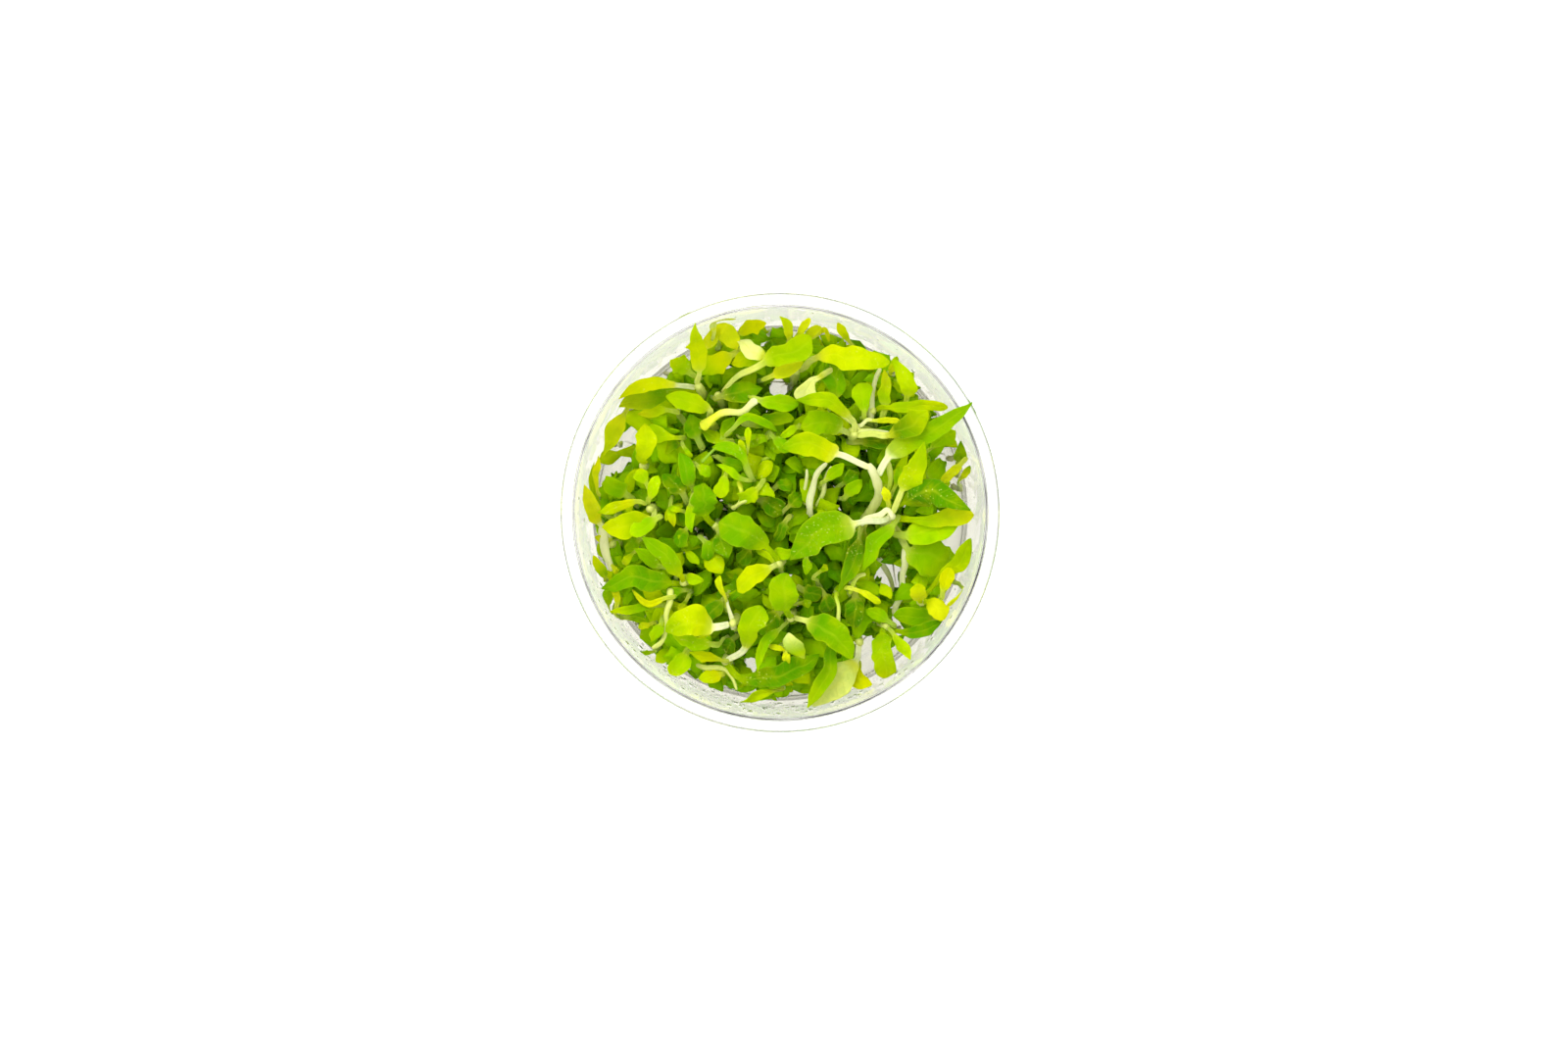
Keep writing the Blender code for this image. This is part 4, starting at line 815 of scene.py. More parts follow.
def gel_finish():
    """Cloudy whitish gel with a wet, slightly uneven top."""
    finish = Finish("wisteria_gel")
    clouds = finish.noise(9, detail=3)
    gel = (*bpy.context.scene.wisteria_cup.gel, 1)
    greyer = tuple(0.95 * c for c in gel[:3]) + (1,)
    shader = finish.surface({
        "Base Color": finish.mix(clouds, greyer, gel),
        "Roughness": 0.16 + 0.2 * clouds,
        "IOR": 1.34,
        "Transmission Weight": 0.85,
        "Normal": finish.bump(finish.noise(6), 0.25),
    })
    return finish.done(shader)


def leaf_finish(name, glow):
    """A fleshy leaf: its own tint, a pale midrib and side veins, a rim painted lighter as painted light
    through its thin edges, painted glints, and light that comes through it.
    """
    finish = Finish(f"wisteria_{name}")
    tint = finish.tint()
    leaf = finish.node("ShaderNodeUVMap", {"uv_map": "leaf"}).outputs["UV"]
    split = finish.node("ShaderNodeSeparateXYZ", sockets={0: leaf})
    across = abs(Maths(finish, split.outputs["X"]) * 2 - 1)
    along = Maths(finish, split.outputs["Y"]) * VEIN_SCALE
    midrib = 1 - across.step(0.03, 0.17)
    veins = ((along - across * 1.7) * (2 * math.pi / VEIN_SPACING)).wave().step(0.72, 1.0)
    veins = veins * across.step(0.1, 0.25) * (1 - across.step(0.7, 0.95))
    # The rim is painted lighter: painted light that shines through the thin edges
    rim = across.step(0.8, 1.0)
    patches = finish.noise(3.5, detail=3)
    cells = finish.noise(0.35, detail=1)
    colour = finish.mix(patches.step(0.4, 0.8) * 0.3, tint, LEAF_YELLOW)
    colour = finish.mix(patches.step(0.6, 0.3) * 0.3, colour, LEAF_GREEN)
    colour = finish.mix(midrib * 0.12 + veins * 0.06 + rim * 0.18, colour, LEAF_VEIN_AND_RIM_LIGHT)
    colour = finish.mix(cells.step(0.4, 0.7) * 0.06, colour, LEAF_CELL)
    # Painted glints: bright specks in patches, painted in as wet highlights
    painted_glints = finish.noise(0.45, detail=0).step(0.7, 0.78) * finish.noise(8, detail=1).step(0.52, 0.62)
    colour = finish.mix(painted_glints * 0.4, colour, LEAF_PAINTED_GLINT)
    height = patches * 0.5 - midrib * 0.35 - veins * 0.3 + cells * 0.12
    front = finish.surface({
        "Base Color": colour,
        "Roughness": 0.36 + 0.2 * patches,
        "IOR": 1.38,
        "Specular IOR Level": 0.22,
        "Specular Tint": LEAF_GLOSS,
        "Normal": finish.bump(height, 0.16),
    })
    _, green, blue = finish.channels(tint)
    share = (0.06 + 0.4 * green.step(0.08, 0.55)) * (1 - 0.85 * blue.step(0.04, 0.4))
    return finish.done_with_glow(front, glow, share)


def stalk_finish():
    """Smooth pale stems and roots, streaked along their length."""
    finish = Finish("wisteria_stalk")
    tint = finish.tint()
    stretch = finish.node("ShaderNodeMapping", sockets={"Vector": finish.place(), "Scale": (2500, 2500, 300)})
    streaks = finish.node("ShaderNodeTexNoise", sockets={"Vector": stretch.outputs[0], "Scale": 1.0})
    streaks = Maths(finish, streaks.outputs["Fac"])
    *_, blue = finish.channels(tint)
    greener = streaks.step(0.45, 0.75) * 0.2 + 0.25 * (1 - blue.step(0.2, 0.55))
    front = finish.surface({
        "Base Color": finish.mix(greener, tint, STALK_GREEN),
        "Roughness": 0.34 + 0.15 * streaks,
        "Specular IOR Level": 0.3,
        "Normal": finish.bump(streaks, 0.05),
    })
    return finish.done_with_glow(front, STALK_GLOW, 0.08 + 0.34 * blue.step(0.03, 0.55))


def start_piece():
    """Deselect everything, so that only what is added next is worked on."""
    if bpy.context.object and bpy.context.object.mode != "OBJECT":
        bpy.ops.object.mode_set(mode="OBJECT")
    bpy.ops.object.select_all(action="DESELECT")


def pick(obj):
    """Make one object the only one that is worked on."""
    start_piece()
    obj.select_set(True)
    bpy.context.view_layer.objects.active = obj


def modify(obj, kind, **settings):
    """Add a modifier and apply it."""
    pick(obj)
    modifier = obj.modifiers.new(kind.title(), kind)
    for name, value in settings.items():
        setattr(modifier, name, value)
    bpy.ops.object.modifier_apply(modifier=modifier.name)


def joined(objects):
    """Join several objects into the first."""
    start_piece()
    for obj in objects:
        obj.select_set(True)
    bpy.context.view_layer.objects.active = objects[0]
    bpy.ops.object.join()
    return objects[0]


def settle(obj, name, material, slot, *nodes):
    """Bring a finished piece to metres, name it, and tie it to the frame."""
    pick(obj)
    obj.scale = (MM, MM, MM)
    bpy.ops.object.transform_apply(location=True, rotation=True, scale=True)
    obj.name = name
    obj.data.name = name
    obj.data.materials.clear()
    obj.data.materials.append(material)
    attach(obj, BODY)
    if nodes:
        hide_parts(*nodes)
    return obj


def turned(profile, sides):
    """A closed body turned round Z, as a disc that is extruded ring by ring along a profile."""
    start_piece()
    (radius, height), *rest = profile
    bpy.ops.mesh.primitive_circle_add(
        vertices=sides, radius=radius, fill_type="NGON", enter_editmode=True, calc_uvs=False,
    )
    bpy.ops.transform.translate(value=(0, 0, height))
    for next_radius, next_height in rest:
        rise = {"value": (0, 0, next_height - height)}
        bpy.ops.mesh.extrude_region_move(TRANSFORM_OT_translate=rise)
        ratio = next_radius / radius
        bpy.ops.transform.resize(value=(ratio, ratio, 1))
        radius, height = next_radius, next_height
    bpy.ops.mesh.select_all(action="SELECT")
    bpy.ops.mesh.normals_make_consistent(inside=False)
    bpy.ops.object.mode_set(mode="OBJECT")
    return bpy.context.object


def round_edges(obj):
    """Round the sharp edges of a turned piece, and shade it smooth between them."""
    angle = math.radians(BEVEL_ANGLE)
    modify(obj, "BEVEL", width=BEVEL_WIDTH, segments=BEVEL_SEGMENTS, limit_method="ANGLE", angle_limit=angle)
    pick(obj)
    bpy.ops.object.shade_smooth_by_angle(angle=math.radians(SMOOTH_ANGLE))


def wall_radius(height):
    """The radius of the inside of the cup's wall at a height."""
    return WALL_FOOT_RADIUS - WALL + (WALL_TOP_RADIUS - WALL_FOOT_RADIUS) * height / CUP_HEIGHT


def from_middle(radius, angle, height):
    """The point at a radius and an angle about the middle of the cup."""
    return Vector((radius * math.cos(angle), radius * math.sin(angle), height))


def hold_in(point, radius):
    """Bring a point in to a radius about the middle of the cup, if it is further out."""
    point.xy *= min(1.0, radius / max(1e-6, point.xy.length))


def covered(places, x, y, room):
    """Whether a spot is inside one of several round places, or within some room of it."""
    return any(math.hypot(x - place_x, y - place_y) < radius + room for place_x, place_y, radius in places)


def smooth_path(points, steps):
    """Points along a smooth curve through the given ones, with steps[i] stretches between two of them."""
    points = [Vector(p) for p in points]
    spans = [end - start for start, end in zip(points, points[1:])]
    headings = []
    for before, after in zip(spans, spans[1:]):
        weighed = before.normalized() * after.length + after.normalized() * before.length
        headings.append(weighed / (before.length + after.length))
    first, last = spans[0].normalized(), spans[-1].normalized()
    headings = [(3 * first - headings[0]) / 2, *headings, (3 * last - headings[-1]) / 2]
    path = []
    for count, start, span, leaving, arriving in zip(steps, points, spans, headings, headings[1:]):
        bend = (leaving + arriving) * span.length - 2 * span
        swing = 3 * span - (2 * leaving + arriving) * span.length
        for i in range(count):
            t = i / count
            path.append(start + leaving * span.length * t + swing * t ** 2 + bend * t ** 3)
    return path + [points[-1]]


def length_along(path):
    """The length of a path."""
    return sum((after - before).length for before, after in zip(path, path[1:]))


def stem_path(name):
    """The points along a stem."""
    return smooth_path(STEMS[name], STEM_STEPS[:len(STEMS[name]) - 1])


def on_stem(name, height):
    """The point in the middle of a stem at a height, and the stem's direction there."""
    path = stem_path(name)
    lower, upper = next(pair for pair in zip(path, path[1:]) if pair[1].z >= height)
    point = lower.lerp(upper, (height - lower.z) / (upper.z - lower.z))
    return point, (upper - lower).normalized()


# One ring of a blank: how far along it is, where its middle is across, and its half width and half thickness
Ring = namedtuple("Ring", "along middle width thickness")


def stand_blank(rings, sides, groove=0.0):
    """A closed body that stands along Z, one ring of its cross-section extruded from the last.

    A groove moves the middle line of both its faces back, as a part of half its thickness.
    """
    start_piece()
    bpy.ops.mesh.primitive_circle_add(
        vertices=sides, radius=1, fill_type="NGON", enter_editmode=True, calc_uvs=False,
    )
    blank = bpy.context.object
    if groove:
        bpy.ops.mesh.select_all(action="DESELECT")
        edit = bmesh.from_edit_mesh(blank.data)
        for vertex in edit.verts:
            vertex.select = abs(vertex.co.x) < 0.01
        bmesh.update_edit_mesh(blank.data)
        bpy.ops.transform.translate(value=(0, -groove, 0))
        bpy.ops.mesh.select_all(action="SELECT")
    first = rings[0]
    bpy.ops.transform.resize(value=(first.width, first.thickness, 1), center_override=(0, 0, 0))
    bpy.ops.transform.translate(value=(first.middle, 0, first.along))
    for before, ring in zip(rings, rings[1:]):
        move = {"value": (ring.middle - before.middle, 0, ring.along - before.along)}
        bpy.ops.mesh.extrude_region_move(TRANSFORM_OT_translate=move)
        bpy.ops.transform.resize(
            value=(ring.width / before.width, ring.thickness / before.thickness, 1),
            center_override=(ring.middle, 0, ring.along),
        )
    bpy.ops.object.mode_set(mode="OBJECT")
    return blank


def paint(blank, rings, sides, stops):
    """Give a blank its leaf coordinates, and colours between stops of share of the length and colour."""
    mesh = blank.data
    coordinates = mesh.uv_layers.new(name="leaf").data
    for loop in mesh.loops:
        ring = rings[loop.vertex_index // sides]
        x = mesh.vertices[loop.vertex_index].co.x
        coordinates[loop.index].uv = (0.5 + 0.5 * (x - ring.middle) / ring.width, ring.along / VEIN_SCALE)
    total = rings[-1].along
    tints = []
    for ring in rings:
        share = ring.along / total
        low, high = next(pair for pair in zip(stops, stops[1:]) if share <= pair[1][0] + 1e-6)
        part = clamped((share - low[0]) / max(1e-6, high[0] - low[0]))
        tints.extend(between(low[1], high[1], part) * sides)
    layer = mesh.color_attributes.new(name="tint", type="FLOAT_COLOR", domain="POINT")
    layer.data.foreach_set("color", tints)


def lay_along(blank, path, roll=0.0, upright=False):
    """Bend a blank that stands along Z along a path, front side up, and roll it towards its tip."""
    curve = bpy.data.curves.new("path", "CURVE")
    curve.dimensions = "3D"
    curve.twist_mode = "MINIMUM" if upright else "Z_UP"
    spline = curve.splines.new("POLY")
    spline.points.add(len(path) - 1)
    for i, (point, at) in enumerate(zip(spline.points, path)):
        point.co = (*at, 1)
        point.tilt = math.radians(roll) * i / (len(path) - 1)
    guide = bpy.data.objects.new("path", curve)
    bpy.context.scene.collection.objects.link(guide)
    modify(blank, "CURVE", object=guide, deform_axis="POS_Z")
    bpy.data.objects.remove(guide)
    bpy.data.curves.remove(curve)


def blade_shape(fraction, widest, full):
    """How wide a blade is at a fraction of its length, as a part of its full width. It narrows to its tip."""
    bend = math.log(0.5) / math.log(widest)
    return max(0.0, math.sin(math.pi * fraction ** bend)) ** (full * (1 + 0.7 * fraction ** 3))


def edge_reach(fraction, side, half, outline, waves):
    """How far a blade's edge is from its middle line at a fraction of its length."""
    count, depth = outline.teeth
    shift = 0.15 * side
    scallops = depth * (1 - abs(math.sin(math.pi * (fraction * count + shift)))) if count else 0.0
    wander = sum(
        size * math.sin(2 * math.pi * (turns * fraction + start)) for turns, start, size in waves
    )
    lobes = sum(
        reach * math.exp(-((fraction - place) / spread) ** 2)
        for place, lobe_side, reach, spread in outline.lobes if lobe_side == side
    )
    return half * (1 - scallops + wander) + lobes


def edge_waves(rng):
    """Three random waves for the edge of a blade: how often, from where and how deep."""
    turns = (rng.uniform(0.8, 1.6), rng.uniform(2.2, 3.6), rng.uniform(4.5, 6.5))
    return [(count, rng.random(), EDGE_WANDER * part) for count, part in zip(turns, (1, 0.6, 0.35))]


def crenate(outline, width, rng):
    """The same outline with a few uneven rounded teeth more, as the edges of these leaves have."""
    teeth = []
    for _ in range(rng.randint(2, 5)):
        place, side = rng.uniform(0.2, 0.9), rng.choice((1, -1))
        reach, spread = width * rng.uniform(0.02, CRENATION), rng.uniform(0.05, 0.09)
        teeth.append((place, side, reach, spread))
    return outline._replace(lobes=(*outline.lobes, *teeth))


def leaf_rings(total, stalk, width, outline, counts, rng):
    """The rings of a leaf: a flattened stalk that widens into a blade with its lobes and scallops."""
    plants = bpy.context.scene.wisteria_plants
    half_blade = in_millimetres(plants.blade) / 2
    half_stalk = min(in_millimetres(plants.stalk) / 2, SLIM_STALK + STALK_BY_WIDTH * width)
    stalk_rings, blade_rings = counts
    flat = STALK_FLATNESS * half_stalk
    rings = [Ring(stalk * i / stalk_rings, 0, half_stalk, flat) for i in range(stalk_rings)]
    left_waves, right_waves = edge_waves(rng), edge_waves(rng)
    for i in range(blade_rings + 1):
        crowded = END_CROWDING * (1 - math.cos(math.pi * i / blade_rings)) / 2
        fraction = crowded + (1 - END_CROWDING) * i / blade_rings
        shape = blade_shape(fraction, outline.widest, outline.full)
        rim = half_stalk + (TIP_WIDTH - half_stalk) * fraction
        half = rim + max(0.0, width / 2 - rim) * shape
        left = edge_reach(fraction, 1, half, outline, left_waves)
        right = edge_reach(fraction, -1, half, outline, right_waves)
        along = stalk + (total - stalk) * fraction
        thickness = STALK_FLATNESS * rim + (half_blade - STALK_FLATNESS * rim) * min(1.0, 2 * shape)
        rings.append(Ring(along, (left - right) / 2, (left + right) / 2, thickness))
    return rings


def stalk_rings_only(total, width, count):
    """The rings of a bare stalk, which thins a little towards its top."""
    rings = []
    for i in range(count + 1):
        half = width / 2 * (1 - STALK_TAPER * i / count) * (ROUND_TOP if i == count else 1)
        rings.append(Ring(total * i / count, 0, half, 0.85 * half))
    return rings


def grow_leaf(path, stalk, width, outline, fold, roll, colours, counts, sides, rng):
    """A leaf along a path, with its stalk's length, its width, outline, fold and roll, and its colours."""
    total = length_along(path)
    foot, top, base, tip = colours
    if outline.stalk == 1.0:
        rings = stalk_rings_only(total, width, counts[1])
        leaf = stand_blank(rings, sides)
        paint(leaf, rings, sides, [(0, foot), (0.3, foot), (1, tip)])
    else:
        rings = leaf_rings(total, stalk, width, crenate(outline, width, rng), counts, rng)
        leaf = stand_blank(rings, sides, groove=GROOVE)
        at_blade = clamped(stalk / total, 0.03, 0.97)
        waist = [(a + b) / 2 * part for a, b, part in zip(top, base, (1, 1, 0.2, 1))]
        shares = (0, 0.9 * at_blade, at_blade + 0.06 * (1 - at_blade), at_blade + 0.2 * (1 - at_blade), 1)
        paint(leaf, rings, sides, list(zip(shares, (foot, top, waist, base, tip))))
    modify(leaf, "SUBSURF", levels=1, render_levels=1)
    angle = 4 * math.tan(math.radians(fold))
    modify(leaf, "SIMPLE_DEFORM", deform_method="BEND", deform_axis="Z", angle=angle)
    lay_along(leaf, path, roll)
    return leaf


def warp(obj, size):
    """Warp a piece softly in waves about so many millimetres wide, and keep it inside the cup's wall."""
    ripple = in_millimetres(bpy.context.scene.wisteria_plants.ripple)
    clouds = bpy.data.textures.new("warp", "CLOUDS")
    clouds.cloud_type = "COLOR"
    clouds.noise_scale = size
    clouds.noise_depth = 0
    modify(obj, "DISPLACE", texture=clouds, direction="RGB_TO_XYZ", strength=ripple, mid_level=0.5)
    keep_inside(obj)


def keep_inside(obj):
    """Press softly inwards what comes near the cup's wall, so that nothing reaches through it."""
    room = WALL_ROOM - WALL_SKIN
    for vertex in obj.data.vertices:
        radius = math.hypot(vertex.co.x, vertex.co.y)
        start = wall_radius(vertex.co.z) - WALL_ROOM
        if radius > start and vertex.co.z < CUP_HEIGHT:
            pressed = start + room * (1 - math.exp((start - radius) / room))
            vertex.co.x *= pressed / radius
            vertex.co.y *= pressed / radius


def seen(x, y, height):
    """The real place of something at a height that shows at x and y on the plane of the cup's rim."""
    share = (CAMERA_DISTANCE + CUP_HEIGHT - height) / CAMERA_DISTANCE
    return Vector((CAMERA_X + (x - CAMERA_X) * share, CAMERA_Y + (y - CAMERA_Y) * share, height))


def low_leaf_points(spots, heights):
    """The points of a low leaf, lifted where it leans on the wall. Two points get a third between them."""
    last = len(spots) - 1
    if len(heights) != len(spots):
        heights = [heights[0] + (heights[-1] - heights[0]) * i / last for i in range(last + 1)]
    lifts = [WALL_LIFT * max(0.0, math.hypot(x, y) - LIFT_START) for x, y in spots]
    heights = [max(height, min(height + lift, LIFT_TOP)) for height, lift in zip(heights, lifts)]
    points = [seen(x, y, height) for (x, y), height in zip(spots, heights)]
    if len(points) == 2:
        points.insert(1, (points[0] + points[1]) / 2 + Vector((0, 0, 0.8)))
    return points


def undergrowth_height(x, y):
    """The top of the young shoots, a dome at each clump of them."""
    domes = [
        (top - UNDERGROWTH_LOW) * math.exp(-(math.hypot(x - middle_x, y - middle_y) / radius) ** 2)
        for middle_x, middle_y, top, radius in CLUMPS
    ]
    height = UNDERGROWTH_LOW + UNDERGROWTH_RISE + max(domes) * CLUMP_SHARE
    return min(height, HOLLOW_TOP) if covered(HOLLOWS, x, y, 1) else height


def thin_stems(lines, name):
    """Round stems along lines of points with radii, as one mesh."""
    curve = bpy.data.curves.new(name, "CURVE")
    curve.dimensions = "3D"
    curve.bevel_depth = 1.0
    curve.bevel_resolution = 1
    curve.use_fill_caps = True
    for line in lines:
        spline = curve.splines.new("POLY")
        spline.points.add(len(line) - 1)
        for point, (at, radius) in zip(spline.points, line):
            point.co = (*at, 1)
            point.radius = radius
    stems = bpy.data.objects.new(name, curve)
    bpy.context.scene.collection.objects.link(stems)
    pick(stems)
    bpy.ops.object.convert(target="MESH")
    bpy.ops.object.shade_smooth()
    return bpy.context.object


def tint_by_height(obj, low, high, low_colour, high_colour):
    """Colour a piece between two heights, and give it the leaf coordinates that joined pieces share."""
    mesh = obj.data
    layer = mesh.color_attributes.new(name="tint", type="FLOAT_COLOR", domain="POINT")
    tints = []
    for vertex in mesh.vertices:
        tints.extend(between(low_colour, high_colour, clamped((vertex.co.z - low) / (high - low))))
    layer.data.foreach_set("color", tints)
    if "leaf" not in mesh.uv_layers:
        mesh.uv_layers.new(name="leaf")


def rising_line(foot, top, rng, radius):
    """A young stem from its foot in the gel to its top, slightly bowed."""
    bow = Vector((rng.uniform(-1, 1), rng.uniform(-1, 1), 0)) * SHOOT_BOW
    middle = (foot + top) / 2 + bow
    path = smooth_path((foot, middle, top), (4, 4))
    last = len(path) - 1
    return [(point, radius * (1 - SHOOT_TAPER * i / last)) for i, point in enumerate(path)]


def make_small_leaves():
    """Small leaves of several shapes, 1 long from the origin towards +Y, to be copied.

    Each shape is its width, how far its tip droops, where it is widest, and its lobes.
    """
    shapes = (
        (0.6, 0.10, 0.42, ((0.35, 1, 0.12, 0.1), (0.5, -1, 0.08, 0.08))),
        (0.50, 0.04, 0.5, ((0.55, -1, 0.12, 0.1), (0.25, 1, 0.07, 0.1))),
        (0.62, -0.06, 0.55, ((0.8, 1, 0.07, 0.1),)),
        (0.42, 0.12, 0.45, ((0.45, 1, 0.11, 0.09), (0.62, -1, 0.10, 0.09))),
        (0.48, -0.14, 0.4, ()),
    )
    leaves = []
    for width, droop, widest, lobes in shapes:
        outline = Outline(0.14, widest, 0.72, SMOOTH, lobes)
        rings = []
        for along in SMALL_LEAF_STEPS:
            fraction = max(0.0, (along - outline.stalk) / (1 - outline.stalk))
            shape = blade_shape(fraction, outline.widest, outline.full)
            half = SMALL_LEAF_HALF + (width / 2 - SMALL_LEAF_HALF) * shape if along < 1 else SMALL_TIP_HALF
            left, right = (edge_reach(fraction, side, half, outline, ()) for side in (1, -1))
            thickness = SMALL_LEAF_HALF if along < outline.stalk else SMALL_TIP_HALF
            rings.append(Ring(along, (left - right) / 2, (left + right) / 2, thickness))
        leaf = stand_blank(rings, SMALL_LEAF_SIDES)
        white = (1, 1, 1, 1)
        paint(leaf, rings, SMALL_LEAF_SIDES, [(0, white), (1, white)])
        modify(leaf, "SIMPLE_DEFORM", deform_method="BEND", deform_axis="Z", angle=0.7)
        path = smooth_path(((0, 0, 0), (0, 0.5, 0.1), (0, 1, 0.1 - droop)), (5, 5))
        lay_along(leaf, path)
        bpy.ops.object.shade_smooth()
        leaves.append(leaf)
    return leaves


def copies(placed):
    """One joined mesh of copies, each a source object, a matrix and a tint."""
    made = []
    for source, matrix, tint in placed:
        copy = source.copy()
        copy.data = source.data.copy()
        copy.data.transform(matrix)
        if tint:
            colours = copy.data.color_attributes["tint"].data
            colours.foreach_set("color", list(tint) * len(colours))
        bpy.context.scene.collection.objects.link(copy)
        made.append(copy)
    return joined(made)


def spread_feet(rng, spacing):
    """Feet for the young shoots, none nearer to another than the spacing, and none in a clearing."""
    clearings = [(seen(x, y, UNDERGROWTH_LOW + 6), radius) for x, y, radius in CLEARINGS]
    feet = []
    for _ in range(FOOT_TRIES):
        foot = from_middle(SHOOT_REACH * math.sqrt(rng.random()), rng.uniform(0, 2 * math.pi), 0)
        if any((foot.xy - place.xy).length < room + FOOT_ROOM for place, room in clearings):
            continue
        if any((foot.xy - other.xy).length < spacing for other in feet):
            continue
        feet.append(foot)
    return feet


def in_open(point, room):
    """Whether a point is over a place where the gel shows, or in the air over a hollow."""
    over_hollow = point.z > HOLLOW_TOP and covered(HOLLOWS, point.x, point.y, 0)
    return over_hollow or covered(CLEARINGS, point.x, point.y, room)


def shoot_leaves(line, rng, small_leaves):
    """Placings of small leaves in opposite pairs up a stem's line, and a bud at its top."""
    placed = []
    low, high = line[0][0].z, line[-1][0].z
    turn = rng.uniform(0, math.pi)
    height = low + rng.uniform(*FIRST_PAIR) * (high - low)
    while height < high - 0.8:
        share = (height - low) / (high - low)
        at = next(point for point, _ in line[1:] if point.z >= height)
        size = rng.uniform(*PAIR_LENGTH) * (0.7 + 0.45 * share)
        for side in (0, math.pi):
            lift = math.radians(rng.uniform(0, 24) + 8 * share)
            placed.append((at, turn + side + rng.uniform(-0.3, 0.3), lift, size * rng.uniform(0.85, 1.15)))
        turn += math.pi / 2 + rng.uniform(-0.4, 0.4)
        height += rng.uniform(*PAIR_SPACING)
    for bud_leaf in range(2):
        lift = math.radians(rng.uniform(10, 40))
        placed.append((line[-1][0], turn + bud_leaf * 2.6, lift, rng.uniform(*BUD_LENGTH)))
    shift = rng.uniform(0.85, 1.15)
    result = []
    for at, heading, lift, size in placed:
        reach = at + Vector((-math.sin(heading), math.cos(heading), 0)) * size * math.cos(lift)
        if math.hypot(reach.x, reach.y) > wall_radius(at.z) - 0.6:
            continue
        if at.z + size * math.sin(lift) > high + 3.5:
            continue
        if in_open(reach, 0.8) or in_open((at + reach) / 2, 1.2):
            continue
        roll = Matrix.Rotation(rng.uniform(-0.45, 0.45), 4, "Y")
        matrix = Matrix.Translation(at) @ Matrix.Rotation(heading, 4, "Z")
        matrix = matrix @ Matrix.Rotation(lift, 4, "X") @ roll @ Matrix.Scale(size, 4)
        # Shoots further out take lighter colours and are made lighter still: painted light through the wall.
        # Low leaves take darker colours: painted shade.
        outer = max(0.0, reach.xy.length - OUTER_SHOOTS)
        painted_light_level = next(names for top, names in SHOOT_TINTS_WITH_PAINTED_SHADE if at.z + 0.5 * outer < top)
        shift_and_painted_light = shift * (1 + OUTER_PAINTED_LIGHT * outer)
        tint = [min(1.0, c * shift_and_painted_light) for c in colour_of(rng.choice(painted_light_level))[:3]] + [1.0]
        result.append((rng.choice(small_leaves), matrix, tint))
    return result


class WISTERIA_OT_cup(bpy.types.Operator):
    """Turn the clear cup with its foot ring, raised floor, tapered wall and flat flange"""

    bl_idname = "wisteria.cup"
    bl_label = "Make Cup"

    def execute(self, context):
        under_flange = CUP_HEIGHT - FLANGE_DEPTH
        profile = (
            (FOOT_INNER_RADIUS - FLOOR_RISE, FLOOR_RISE),
            (FOOT_INNER_RADIUS, 0),
            (FOOT_OUTER_RADIUS, 0),
            (wall_radius(EDGE_ROUND) + WALL, EDGE_ROUND),
            (wall_radius(under_flange) + WALL, under_flange),
            (RIM_RADIUS - EDGE_ROUND, under_flange),
            (RIM_RADIUS, under_flange + EDGE_ROUND),
            (RIM_RADIUS, CUP_HEIGHT - EDGE_ROUND),
            (RIM_RADIUS - EDGE_ROUND, CUP_HEIGHT),
            (WALL_TOP_RADIUS - WALL + EDGE_ROUND, CUP_HEIGHT),
            (wall_radius(CUP_HEIGHT - EDGE_ROUND), CUP_HEIGHT - EDGE_ROUND),
            (wall_radius(FLOOR + EDGE_ROUND), FLOOR + EDGE_ROUND),
            (FOOT_OUTER_RADIUS - WALL, FLOOR),
            (FOOT_INNER_RADIUS, FLOOR),
            (FOOT_INNER_RADIUS - FLOOR_RISE, FLOOR_RISE + FLOOR),
        )
        cup = turned(profile, TURNED_SIDES)
        round_edges(cup)
        settle(cup, "wisteria_cup", plastic_finish(), "clear_plastic", "cup")
        return {"FINISHED"}


class WISTERIA_OT_gel(bpy.types.Operator):
    """Pour the gel, which follows the cup's floor and creeps a little up the wall"""

    bl_idname = "wisteria.gel"
    bl_label = "Make Gel"

    def execute(self, context):
        floor = FLOOR + GAP
        edge = GEL_TOP + MENISCUS
        profile = (
            (FOOT_INNER_RADIUS - FLOOR_RISE, floor + FLOOR_RISE),
            (FOOT_INNER_RADIUS, floor),
            (FOOT_OUTER_RADIUS - WALL - GAP, floor),
            (wall_radius(floor + EDGE_ROUND) - GAP, floor + EDGE_ROUND),
            (wall_radius(edge) - GAP, edge),
            (wall_radius(edge) - GAP - MENISCUS_WIDTH * 0.35, GEL_TOP + MENISCUS * 0.35),
            (wall_radius(edge) - GAP - MENISCUS_WIDTH, GEL_TOP),
        )
        gel = turned(profile, TURNED_SIDES)
        round_edges(gel)
        settle(gel, "wisteria_gel", gel_finish(), "gel", "gel")
        return {"FINISHED"}


